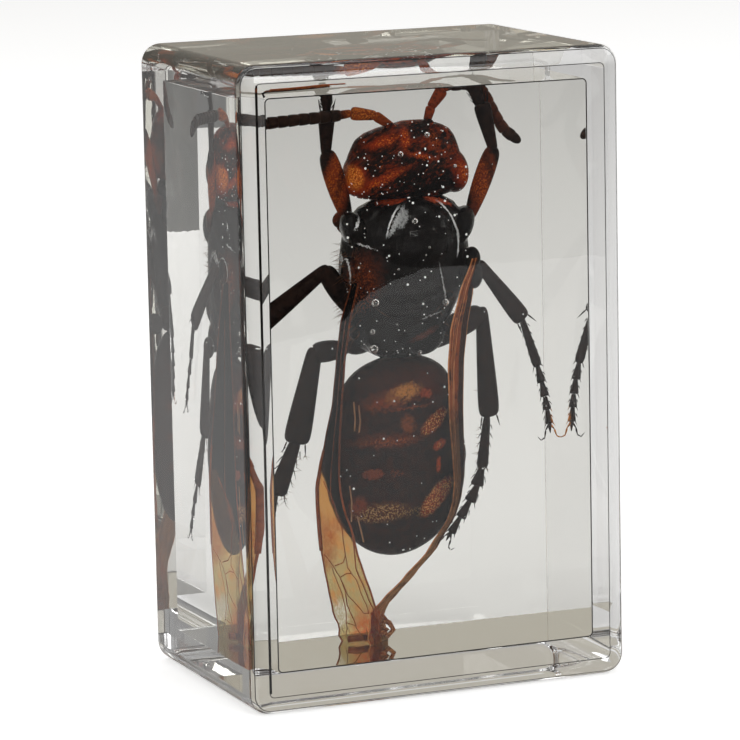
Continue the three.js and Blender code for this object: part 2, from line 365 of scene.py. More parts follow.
class Field:
    """A node's output, which can be added to, multiplied and mapped like a number or a vector."""

    def __init__(self, tree, socket):
        self.tree = tree
        self.socket = socket

    def made(self, output, kind, inputs, **settings):
        """The output of a new node in the same tree."""
        return Field(self.tree, add_node(self.tree, kind, inputs, **settings).outputs[output])

    def is_number(self):
        """Whether the output is one value and not a vector or colour."""
        return self.socket.type == "VALUE"

    def combine(self, operation, first, last):
        """A sum, difference, product or quotient with another field, a number or a vector."""
        other = first if last is self else last
        number = other.is_number() if isinstance(other, Field) else isinstance(other, float)
        if operation == "MULTIPLY" and number and not self.is_number():
            return self.made(0, "VectorMath", {0: self, "Scale": other}, operation="SCALE")
        return self.made(0, "Math" if self.is_number() else "VectorMath", {0: first, 1: last}, operation=operation)

    def __add__(self, other):
        return self.combine("ADD", self, other)

    def __sub__(self, other):
        return self.combine("SUBTRACT", self, other)

    def __rsub__(self, other):
        return self.combine("SUBTRACT", other, self)

    def __mul__(self, other):
        return self.combine("MULTIPLY", self, other)

    def __truediv__(self, other):
        return self.combine("DIVIDE", self, other)

    def size(self):
        """A number's absolute value or a vector's length."""
        if self.is_number():
            return self.made(0, "Math", {0: self}, operation="ABSOLUTE")
        return self.made("Value", "VectorMath", {0: self}, operation="LENGTH")

    def over(self, limit):
        """1 where the number is over a limit, or else 0."""
        return self.made(0, "Math", {0: self, 1: limit}, operation="GREATER_THAN")

    def part(self, axis):
        """One part of a vector, by its axis."""
        return self.made(axis, "SeparateXYZ", {0: self})

    def turned(self, angle):
        """A vector turned about Y."""
        return self.made("Vector", "VectorRotate", {"Vector": self, "Angle": angle}, rotation_type="Y_AXIS")

    def ramp(self, low, high, to_low=0.0, to_high=1.0):
        """A smooth step from one value to another between two limits."""
        inputs = {"Value": self, "From Min": low, "From Max": high, "To Min": to_low, "To Max": to_high}
        return self.made("Result", "MapRange", inputs, interpolation_type="SMOOTHSTEP")

    def noise(self, scale, detail, rough, output="Fac"):
        """Soft noise at this position."""
        inputs = {"Vector": self, "Scale": scale, "Detail": detail, "Roughness": rough}
        return self.made(output, "TexNoise", inputs)

    def cells(self, scale):
        """The distance to the nearest of many scattered points."""
        return self.made("Distance", "TexVoronoi", {"Vector": self, "Scale": scale})


def mix_colour(tree, factor, a, b):
    """A colour between two others; a colour is a field or its red, green and blue."""
    node = add_node(tree, "Mix", {}, data_type="RGBA")
    for label, value in (("Factor", factor), ("A", a), ("B", b)):
        if not isinstance(value, Field):
            value = (*value[:3], 1)
        feed(next(socket for socket in node.inputs if socket.name == label and socket.enabled), value)
    return Field(tree, next(socket for socket in node.outputs if socket.enabled))


def shared_group(name, inputs, outputs, build):
    """A shader group with named sockets, built the first time it is asked for."""
    if name in bpy.data.node_groups:
        return bpy.data.node_groups[name]
    group = bpy.data.node_groups.new(name, "ShaderNodeTree")
    for label, default in inputs.items():
        kind = "NodeSocketFloat" if isinstance(default, float) else "NodeSocketVector"
        group.interface.new_socket(name=label, in_out="INPUT", socket_type=kind).default_value = default
    for label in outputs:
        group.interface.new_socket(name=label, in_out="OUTPUT", socket_type="NodeSocketFloat")
    entry = group.nodes.new("NodeGroupInput")
    leave = group.nodes.new("NodeGroupOutput")
    results = build(group, *(Field(group, entry.outputs[label]) for label in inputs))
    for label, result in zip(outputs, results):
        feed(leave.inputs[label], result)
    return group


def soft_patch(tree, position, centre, size, turn, softness, wander, grain):
    """A blurred oval marking with a wandering edge."""
    drift = position.noise(grain, 4.0, 0.65, "Color") - (0.5, 0.5, 0.5)
    local = position + drift * (wander * 2.0) - centre
    reach = (local.turned(turn) / size).size()
    return [reach.ramp(1.0 - softness, softness + 1.0, 1.0, 0.0)]


def curved_streak(tree, position, centre, radius, width, low_end, high_end, side):
    """A narrow streak along part of a circle, seen from the front; a bright one is a painted glint."""
    flat = (position - centre) * (1, 0, 1)
    torn = (position.noise(1.6, 5.0, 0.7) - 0.5) * 3.4
    line = ((flat.size() - radius).size() + torn * width).ramp(width * 0.6, width, 1.0, 0.0)
    height = position.part("Z")
    above = (height - low_end).ramp(0.0, 0.9)
    below = (high_end - height).ramp(0.0, 0.9)
    front = position.part("Y").ramp(3.0, 5.0, 1.0, 0.0)
    return [line * above * below * (flat.part("X") * side).over(0.0) * front]


def shell_mottle(tree, position, turn, stretch, scale):
    """Streaky dark and bright blotches and sparks, as in dried brown shell."""
    drawn = position.turned(turn) * stretch * scale
    fine = drawn.noise(2.2, 5.0, 0.65)
    both = drawn.noise(0.55, 3.0, 0.5) * 0.55 + fine * 0.45
    spark = drawn.cells(3.4).ramp(0.12, 0.3, 1.0, 0.0) * fine.ramp(0.45, 0.6)
    return [both.ramp(0.44, 0.52, 1.0, 0.0), both.ramp(0.5, 0.62), spark]


def shell_grain(tree, position, pit_size, low_gloss, high_gloss):
    """Pits, wrinkles and worn gloss of dried insect shell."""
    wrinkle = position.noise(1.1, 5.0, 0.6)
    fine = position.noise(9.0, 3.0, 0.6)
    height = (position.cells(pit_size) * 0.6 + wrinkle + fine) * 0.4
    worn = {"Factor": wrinkle.ramp(0.35, 0.65), "A": high_gloss, "B": low_gloss}
    return [height, wrinkle.made("Result", "Mix", worn), (wrinkle + fine).ramp(0.85, 1.15)]


ORIGIN = (0.0, 0.0, 0.0)
GROUPS = {
    "Soft Patch": (
        {
            "Position": ORIGIN, "Centre": ORIGIN, "Size": (1.0, 1.0, 1.0), "Turn": 0.0,
            "Softness": 0.3, "Wander": 0.5, "Grain Size": 1.0,
        },
        ["Mask"],
        soft_patch,
    ),
    "Curved Streak": (
        {
            "Position": ORIGIN, "Centre": ORIGIN, "Radius": 5.0, "Width": 0.3,
            "Low End": 0.0, "High End": 1.0, "Side": 1.0,
        },
        ["Mask"],
        curved_streak,
    ),
    "Shell Mottle": (
        {"Position": ORIGIN, "Turn": 0.3, "Stretch": (0.45, 1.0, 1.3), "Scale": 1.0},
        ["Dark", "Bright", "Spark"],
        shell_mottle,
    ),
    "Shell Grain": (
        {"Position": ORIGIN, "Pit Size": 4.0, "Low Gloss": 0.45, "High Gloss": 0.22},
        ["Height", "Roughness", "Mottle"],
        shell_grain,
    ),
}


def use_group(tree, name, position, **values):
    """The outputs of a shared group, by name, with its inputs set."""
    node = tree.nodes.new("ShaderNodeGroup")
    node.node_tree = shared_group(name, *GROUPS[name])
    feed(node.inputs["Position"], position)
    for label, value in values.items():
        node.inputs[label.replace("_", " ")].default_value = value
    return {socket.name: Field(tree, socket) for socket in node.outputs}


def new_material(name, **values):
    """A material with its tree and shader, whose own inputs are set."""
    material = bpy.data.materials.new(name)
    material.use_nodes = True
    shader = material.node_tree.nodes["Principled BSDF"]
    for label, value in values.items():
        shader.inputs[label.replace("_", " ")].default_value = value
    return material, material.node_tree, shader


def millimetre_position(tree):
    """Object coordinates in millimetres."""
    return Field(tree, tree.nodes.new("ShaderNodeTexCoord").outputs["Object"]) * 1000.0


def add_relief(tree, shader, height, strength, distance):
    """Fine relief, its depth in mm."""
    bump = add_node(tree, "Bump", {"Strength": strength, "Distance": distance * MM, "Height": height})
    tree.links.new(bump.outputs["Normal"], shader.inputs["Normal"])


def shell_material(
    name, ground, second, patches=(), gloss=(0.3, 0.5), pits=4.0, bump=0.2, coat=0.0, mottle=None, streaks=(), painted_glow=0.0
):
    """Insect shell: a ground colour, a mottled second colour and oval markings.

    Each marking is (centre, size, turn in degrees, softness, wander, grain, strength, colour), with True after
    the colour where it is broken up in crumbs.
    The mottle is (dark colour, bright colour, spark colour, turn in degrees, scale, strength).
    Each streak is (centre, radius, width, low end, high end, side, colour).
    The shell is sealed in resin, so its own gloss is weak. A painted glow makes it give light in its ground colour.
    """
    material, tree, shader = new_material(
        name, IOR=1.12, Emission_Color=(*ground[:3], 1), Emission_Strength=painted_glow,
        Coat_Weight=coat, Coat_Roughness=0.08, Coat_IOR=1.2,
    )
    position = millimetre_position(tree)
    grain = use_group(tree, "Shell Grain", position, Pit_Size=pits, Low_Gloss=gloss[1], High_Gloss=gloss[0])
    colour = mix_colour(tree, grain["Mottle"] * 0.75, ground, second)
    if mottle:
        dark, bright, spark, turn, scale, strength = mottle
        blotch = use_group(tree, "Shell Mottle", position, Turn=math.radians(turn), Scale=scale)
        colour = mix_colour(tree, blotch["Bright"] * strength, colour, bright)
        colour = mix_colour(tree, blotch["Dark"] * strength, colour, dark)
        colour = mix_colour(tree, blotch["Spark"] * (strength * 0.8), colour, spark)
    if patches:
        crumble = position.noise(3.2, 4.0, 0.7)
        crumbs = (position.cells(4.8) + crumble * 0.6).ramp(0.6, 0.85, 1.0, 0.0)
        uneven = crumble.ramp(0.36, 0.56, 0.35, 1.0)
    for centre, size, turn, soft, wander, step, strength, tone, *broken in patches:
        patch = use_group(
            tree, "Soft Patch", position, Centre=centre, Size=size, Turn=math.radians(turn),
            Softness=soft, Wander=wander * 1.3, Grain_Size=step * 1.4,
        )
        colour = mix_colour(tree, patch["Mask"] * strength * (crumbs if broken else uneven), colour, tone)
    for centre, radius, width, low, high, side, tone in streaks:
        streak = use_group(
            tree, "Curved Streak", position, Centre=centre, Radius=radius, Width=width,
            Low_End=low, High_End=high, Side=side,
        )
        colour = mix_colour(tree, streak["Mask"], colour, tone)
    feed(shader.inputs["Base Color"], colour)
    feed(shader.inputs["Roughness"], grain["Roughness"])
    add_relief(tree, shader, grain["Height"], bump, 0.1)
    return material


def resin_material(name, ior, absorb=None, density=0.0):
    """Clear polished resin with a faint wave in its surface."""
    material, tree, shader = new_material(
        name, Base_Color=(1, 1, 1, 1), Transmission_Weight=1.0, IOR=ior, Roughness=0.0
    )
    add_relief(tree, shader, millimetre_position(tree).noise(0.35, 2.0, 0.5), 0.005, 0.3)
    if absorb:
        volume = add_node(tree, "VolumeAbsorption", {"Color": absorb, "Density": density})
        tree.links.new(volume.outputs["Volume"], tree.nodes["Material Output"].inputs["Volume"])
    return material


# --------------------------------------------------------------------------
# Clear casting
# --------------------------------------------------------------------------

# Steps of the front's polished bevel: (inwards, forwards), in mm. Together they come FRONT_RISE forwards.
BEVEL = ((0.15, 0.46), (0.27, 0.39), (1.38, 0.31), (0.25, 0.04))
FRONT_RISE = 1.2


class CastResinBlock(bpy.types.Operator):
    """Cast the rounded outer block and the sharp-edged inner casting"""

    bl_idname = "specimen.cast_resin_block"
    bl_label = "Cast Resin Block"

    def execute(self, context):
        settings = context.scene.block_settings
        clear_selection()
        self.outer(settings)
        clear_selection()
        self.inner(settings)
        self.lines(settings)
        return {"FINISHED"}

    def outer(self, settings):
        """The outer block: its front ends in a domed polished bevel, its back in a small round."""
        front, back = -DEPTH / 2 + FRONT_RISE, DEPTH / 2 - settings.back_round
        outer = cuboid((-WIDTH / 2, front, 0), (WIDTH / 2, back, HEIGHT))
        start_edit(outer, "EDGE")
        pick(outer, "EDGE", lambda centre, along: abs(along.y) > 0.9)
        bpy.ops.mesh.bevel(offset=settings.corner * MM, segments=8, profile=0.5, affect="EDGES", offset_type="OFFSET")
        bpy.ops.mesh.select_mode(type="FACE")
        pick(outer, "FACE", lambda centre, normal: normal.y < -0.9)
        for thickness, depth in BEVEL:
            bpy.ops.mesh.inset(thickness=thickness * MM, depth=depth * MM)
        pick(outer, "FACE", lambda centre, normal: normal.y > 0.9)
        steps = 5
        for step in range(steps):
            a0, a1 = math.pi / 2 * step / steps, math.pi / 2 * (step + 1) / steps
            bpy.ops.mesh.inset(
                thickness=settings.back_round * (math.cos(a0) - math.cos(a1)) * MM,
                depth=settings.back_round * (math.sin(a1) - math.sin(a0)) * MM,
            )
        end_edit()
        face_out(outer)
        smooth(outer)
        # The bevel stays softly domed, every other face is shaded flat.
        domed = {i for face in outer.data.polygons if -0.98 < face.normal.y < -0.9 for i in face.vertices}
        flat = outer.vertex_groups.new(name="flat")
        flat.add([vert.index for vert in outer.data.vertices if vert.index not in domed], 1.0, "REPLACE")
        apply_modifier(outer, "WEIGHTED_NORMAL", mode="FACE_AREA", weight=100, keep_sharp=False, vertex_group="flat")
        outer.name = "resin_block"
        clear = resin_material("clear_outer_resin", settings.outer_ior)
        finish_piece(outer, clear, "clear_resin", "resin_front_half", "resin_back_half")

    def inner(self, settings):
        """The inner casting, a sharp box that widens a little towards its back."""
        low, high = settings.inner_bottom, settings.inner_top
        half, near, far = settings.inner_half_width, settings.inner_front, settings.inner_back
        inner = cuboid((-half, near, low), (half, far, high))
        start_edit(inner, "FACE")
        pick(inner, "FACE", lambda centre, normal: normal.y > 0.9)
        bpy.ops.transform.resize(value=(1.03, 1, 1.0), center_override=(0, far * MM, (low + high) / 2 * MM))
        bpy.ops.mesh.select_all(action="SELECT")
        bpy.ops.mesh.bevel(offset=0.09 * MM, segments=2, profile=0.5, affect="EDGES")
        end_edit()
        face_out(inner)
        smooth(inner)
        apply_modifier(inner, "WEIGHTED_NORMAL", mode="FACE_AREA", weight=100, keep_sharp=False)
        inner.name = "inner_casting"
        warm = resin_material("warm_inner_resin", settings.inner_ior, tuple(settings.tint), settings.tint_density)
        finish_piece(inner, warm, "clear_resin", "inner_front_half", "inner_back_half")

    def lines(self, settings):
        """Fine dark lines, painted shade, where the bevel meets the faces and along the inner casting's front edges."""
        front, near = -DEPTH / 2, settings.inner_front
        low, high = settings.inner_bottom, settings.inner_top
        left = -WIDTH / 2 + 2.12
        rings = [
            self.edge_shade_line(WIDTH / 2 - 0.42, HEIGHT / 2 - 0.42, HEIGHT / 2, front + 0.46, 1.8, 0.05),
            self.edge_shade_line(WIDTH / 2 - 1.95, HEIGHT / 2 - 1.95, HEIGHT / 2, front + 0.1, 0.55, 0.045),
            self.edge_shade_line(settings.inner_half_width, (high - low) / 2, (low + high) / 2, near - 0.1, 0.5, 0.07),
            tube([(left, front + 0.25, 2.4), (left, front + 0.25, HEIGHT - 2.1)], 0.11),
        ]
        # A dark line of painted shade along the left part of the inner casting's upper edge: (x, distance in front of
        # it, z).
        shaded_edge = [(-18.8, 0.3, 66.5), (-19.0, 0.35, 66.9), (-18.6, 0.4, 67.1), (-16.5, 0.4, 67.12), (-13.0, 0.4, 67.2)]
        upper = [(-18.2, 0.42, 67.26), (-15.6, 0.42, 67.3), (-12.0, 0.42, 67.42), (-9.6, 0.42, 67.4)]
        for spots, radius in ((shaded_edge + [(-11.4, 0.4, 67.3)], 0.13), (upper, 0.08)):
            rings.append(tube([(x, near - proud, z) for x, proud, z in spots], radius))
        lines = join(rings, "rim_lines")
        smooth(lines, 70)
        # a reddish stretch of the painted dark line at its upper left
        rust = [((-14.5, -13.5, 67.5), (7.5, 3.0, 0.3), 1, 0.5, 0.1, 2.0, 1.0, (0.42, 0.11, 0.03))]
        shade_paint = shell_material("edge_shade_line", (0.012, 0.011, 0.011), (0.03, 0.022, 0.018), rust, gloss=(0.4, 0.6), bump=0.0)
        finish_piece(lines, shade_paint, "clear_resin")

    def edge_shade_line(self, half_width, half_height, middle, y, corner, radius):
        """A thin closed line round the block, parallel to its front, with rounded corners."""
        spots = []
        for k, (sx, sz) in enumerate(((1, 1), (-1, 1), (-1, -1), (1, -1))):
            for step in range(7):
                angle = math.pi / 2 * (k + step / 6)
                x = sx * (half_width - corner) + corner * math.cos(angle)
                z = middle + sz * (half_height - corner) + corner * math.sin(angle)
                spots.append((x, y, z))
        return tube(spots, radius, closed=True)


# --------------------------------------------------------------------------
# Hornet body
# --------------------------------------------------------------------------


class ModelHead(bpy.types.Operator):
    """Model the broad head with its swollen cheeks and eyes"""

    bl_idname = "specimen.model_head"
    bl_label = "Model Head"

    def execute(self, context):
        hornet = context.scene.hornet_settings
        rings = [
            (53.2, -1.6, 5.2, 2.8, 6.0), (53.6, -4.1, 6.7, 1.8, 7.2), (54.2, -5.3, 8.3, 1.1, 8.0),
            (55.1, -5.95, 8.95, 0.7, 8.4), (56.2, -5.95, 8.8, 0.45, 8.6), (57.3, -5.6, 8.05, 0.4, 8.6),
            (58.3, -5.25, 7.9, 0.5, 8.4), (59.2, -4.85, 7.6, 0.8, 8.0), (60.0, -4.4, 7.25, 1.1, 7.6),
            (60.7, -3.4, 6.7, 1.5, 7.0), (61.2, -1.9, 5.8, 2.0, 6.3), (61.6, 0.0, 4.6, 2.7, 5.5),
            (61.85, 1.0, 3.5, 3.4, 4.7),
        ]
        lumps = [
            drawn_body(rings),
            # eyes
            lump((-4.1, 4.4, 56.3), (1.75, 3.3, 2.5), turn=10),
            lump((7.1, 4.4, 56.0), (1.75, 3.3, 2.5), turn=-10),
            # swollen brow and the bases of the feelers
            lump((1.7, 1.9, 57.6), (3.3, 1.9, 2.9)),
            lump((-0.6, 3.0, 61.1), (0.75, 0.8, 0.75)),
            lump((3.9, 3.0, 61.2), (0.8, 0.8, 0.8)),
            # face plate and the two jaws folded under it
            lump((1.7, 7.4, 57.6), (2.9, 1.7, 2.5)),
            lump((0.2, 8.3, 55.2), (1.9, 1.0, 1.2), turn=24),
            lump((3.2, 8.3, 55.2), (1.9, 1.0, 1.2), turn=-24),
        ]
        head = fuse(lumps, "hornet_head", voxel=0.14, passes=6)
        black, orange = tuple(hornet.black), tuple(hornet.orange)
        bright, red = (0.78, 0.15, 0.014), (0.36, 0.036, 0.007)
        marks = [
            # dark nape, and dark bands across the brow
            ((3.9, 1.6, 55.2), (4.6, 4.0, 1.7), -2, 0.35, 0.9, 0.8, 1.0, black),
            ((1.6, 1.6, 54.0), (4.4, 4.0, 0.9), 6, 0.4, 0.6, 0.9, 1.0, black),
            ((-0.4, 1.0, 58.0), (3.4, 4.0, 0.62), -4, 0.6, 0.8, 0.9, 0.9, black),
            ((-4.4, 2.4, 58.6), (1.0, 5.0, 1.3), 20, 0.6, 0.5, 0.9, 0.8, (0.03, 0.012, 0.008)),
            ((2.4, 1.6, 60.8), (1.15, 4.0, 0.8), 0, 0.4, 0.3, 1.2, 1.0, black),
            # red streaks that slant up to the right
            ((-2.4, 1.5, 55.6), (3.4, 4.0, 0.5), 22, 0.5, 0.7, 1.4, 0.95, red),
            ((-2.8, 1.5, 55.3), (3.0, 4.0, 0.3), 24, 0.7, 0.7, 2.4, 0.95, bright, True),
            ((-1.8, 1.5, 59.8), (1.8, 4.0, 0.42), 14, 0.5, 0.5, 1.4, 0.95, red),
            ((-1.4, 1.5, 59.9), (1.3, 4.0, 0.28), 16, 0.6, 0.5, 2.4, 1.0, bright, True),
            ((0.7, 1.2, 60.2), (0.5, 4.0, 1.1), -6, 0.5, 0.4, 1.4, 0.9, red),
            ((0.8, 1.2, 60.0), (0.35, 4.0, 1.0), -6, 0.6, 0.4, 2.4, 1.0, bright, True),
            ((2.2, 1.0, 58.2), (1.6, 4.0, 0.32), -14, 0.7, 0.6, 2.0, 0.85, red),
            ((2.4, 1.0, 58.1), (1.1, 4.0, 0.2), -14, 0.7, 0.6, 2.8, 1.0, bright, True),
            ((4.2, 1.4, 59.6), (0.7, 4.0, 0.8), 20, 0.8, 0.6, 1.8, 0.6, orange, True),
            # left cheek with a grainy orange spot, right cheek edged in red
            ((-4.9, 2.8, 55.6), (1.35, 5.0, 1.9), 12, 0.4, 0.5, 1.2, 0.95, red),
            ((-5.0, 2.8, 56.0), (0.85, 5.0, 1.35), 8, 0.3, 0.35, 1.6, 0.95, (0.6, 0.12, 0.014)),
            ((-5.0, 2.8, 56.1), (0.7, 5.0, 1.2), 8, 0.35, 0.3, 2.8, 1.0, (0.95, 0.32, 0.05), True),
            ((7.7, 2.2, 55.7), (1.1, 5.0, 1.9), 28, 0.5, 0.5, 1.4, 0.85, red),
            ((7.9, 2.2, 55.6), (0.6, 5.0, 1.4), 28, 0.6, 0.5, 2.4, 1.0, bright, True),
            # on the underside, dark eyes, an orange face plate and black jaw tips
            ((-4.4, 7.4, 56.6), (1.7, 2.4, 2.4), 10, 0.15, 0.2, 1.2, 1.0, (0.016, 0.009, 0.007)),
            ((7.4, 7.4, 56.3), (1.7, 2.4, 2.4), -10, 0.15, 0.2, 1.2, 1.0, (0.016, 0.009, 0.007)),
            ((1.7, 9.2, 58.0), (2.5, 2.2, 1.7), 0, 0.3, 0.3, 1.2, 1.0, (0.62, 0.2, 0.03)),
            ((1.7, 9.4, 54.6), (2.8, 1.9, 0.75), 0, 0.3, 0.3, 1.2, 1.0, (0.012, 0.006, 0.005)),
        ]
        mottle = ((0.010, 0.005, 0.004), (0.24, 0.028, 0.006), bright, 22, 1.1, 0.9)
        shell = shell_material(
            "head_shell", (0.036, 0.007, 0.004), (0.11, 0.02, 0.006), marks, gloss=(0.2, 0.4), bump=0.5, mottle=mottle
        )
        finish_piece(head, shell, "insect_body", "hornet")
        return {"FINISHED"}


class ModelThorax(bpy.types.Operator):
    """Model the domed thorax with its shield, rear plates and wing roots"""

    bl_idname = "specimen.model_thorax"
    bl_label = "Model Thorax"

    def execute(self, context):
        hornet = context.scene.hornet_settings
        rings = [
            (53.9, -0.2, 3.8, 3.0, 6.6), (53.4, -2.2, 5.8, 2.0, 7.8), (52.6, -4.1, 7.2, 1.1, 8.4),
            (51.2, -5.5, 8.2, 0.4, 8.9), (49.6, -6.1, 8.6, 0.0, 9.1), (47.6, -6.45, 8.8, -0.3, 9.2),
            (45.6, -6.6, 8.9, -0.3, 9.2), (43.6, -6.5, 8.4, 0.0, 9.2), (41.8, -6.2, 7.5, 0.3, 9.1),
            (40.0, -5.9, 6.6, 0.8, 9.0), (38.4, -5.3, 5.7, 1.4, 8.8), (37.0, -4.1, 4.5, 2.2, 8.4),
            (36.0, -2.3, 3.2, 3.0, 7.6), (35.4, -0.9, 2.2, 3.8, 6.4),
        ]
        lumps = [
            drawn_body(rings),
            # shield, small shield, and the narrow plate behind it
            lump((1.4, 2.9, 48.9), (5.5, 4.1, 4.7)),
            lump((1.1, 1.7, 43.2), (4.0, 2.5, 1.55)),
            lump((0.9, 2.0, 41.0), (3.9, 2.1, 0.8)),
            lump((-1.6, 3.0, 38.6), (2.7, 2.4, 2.5), turn=14),
            lump((2.8, 3.0, 38.4), (2.7, 2.4, 2.5), turn=-14),
            # shoulder flaps and wing roots
            lump((-5.0, 3.4, 50.2), (1.4, 2.6, 2.3), turn=-24),
            lump((7.7, 3.4, 49.9), (1.4, 2.6, 2.3), turn=24),
            lump((-6.0, 1.9, 46.0), (1.0, 1.3, 1.5)),
            lump((8.6, 1.8, 46.2), (1.0, 1.3, 1.4)),
            lump((8.9, 2.4, 44.4), (1.1, 1.4, 1.6)),
            # plates that carry the legs on the underside
            lump((-3.0, 7.5, 50.0), (2.6, 1.7, 2.0)),
            lump((5.2, 7.5, 49.8), (2.6, 1.7, 2.0)),
            lump((-2.6, 7.4, 41.6), (2.8, 1.8, 2.6)),
            lump((3.6, 7.4, 41.6), (2.8, 1.8, 2.6)),
        ]
        thorax = fuse(lumps, "hornet_thorax", voxel=0.15, passes=4)
        black, brown = tuple(hornet.black), tuple(hornet.brown)
        painted_glint, rust, dull = (0.95, 0.96, 0.97), (0.26, 0.05, 0.012), (0.06, 0.03, 0.02)
        marks = [
            ((-4.4, 0.5, 45.4), (1.9, 4.0, 2.3), 12, 0.6, 0.9, 1.1, 0.85, brown),
            ((-4.8, 1.0, 44.4), (1.5, 4.0, 2.6), 0, 0.6, 0.6, 2.2, 0.9, rust, True),
            ((-0.8, 1.0, 53.3), (1.8, 4.0, 0.34), 8, 0.4, 0.35, 1.8, 1.0, (0.55, 0.07, 0.015)),
            ((4.8, 1.0, 52.9), (1.7, 4.0, 0.3), -16, 0.4, 0.3, 1.8, 1.0, (0.8, 0.13, 0.05)),
            # a grey flake and fine silver lines on the shield: painted glints
            ((-0.7, -1.0, 51.2), (0.3, 4.0, 1.9), -34, 0.25, 0.4, 2.6, 0.95, (0.66, 0.67, 0.68)),
            ((-0.05, -1.0, 51.4), (0.5, 4.0, 1.1), -30, 0.25, 0.45, 2.4, 0.9, (0.5, 0.51, 0.52)),
            ((-5.0, 1.0, 51.2), (0.14, 4.0, 0.9), -30, 0.3, 0.45, 2.8, 1.0, painted_glint),
            ((-4.2, 1.0, 48.6), (1.0, 4.0, 0.1), -20, 0.3, 0.35, 2.8, 0.9, painted_glint),
            ((-6.3, 1.6, 46.6), (0.1, 4.0, 1.9), 8, 0.3, 0.3, 2.8, 0.9, painted_glint),
            ((2.6, 0.0, 38.4), (1.5, 4.0, 0.3), 24, 0.7, 0.3, 1.4, 0.8, (0.12, 0.025, 0.014)),
            ((3.6, 0.0, 40.4), (1.3, 4.0, 0.08), 14, 0.4, 0.25, 2.4, 0.8, painted_glint),
            ((4.9, 0.0, 43.6), (0.09, 4.0, 2.2), 14, 0.4, 0.3, 2.4, 0.9, painted_glint),
        ]
        # the silver curved streaks are painted glints; the dull ones are dark lines
        streaks = [
            ((3.6, 0.0, 48.5), 5.7, 0.11, 49.2, 53.0, -1.0, painted_glint),
            ((1.0, 0.0, 48.3), 5.9, 0.13, 46.4, 53.2, 1.0, painted_glint),
            ((0.9, 0.0, 45.6), 5.6, 0.09, 40.2, 42.0, -1.0, dull),
            ((0.9, 0.0, 45.6), 5.6, 0.09, 40.2, 42.0, 1.0, dull),
        ]
        shell = shell_material(
            "thorax_shell", black, (0.010, 0.007, 0.006), marks, gloss=(0.16, 0.34), bump=0.3, coat=0.6, streaks=streaks
        )
        finish_piece(thorax, shell, "insect_body", "hornet")
        return {"FINISHED"}


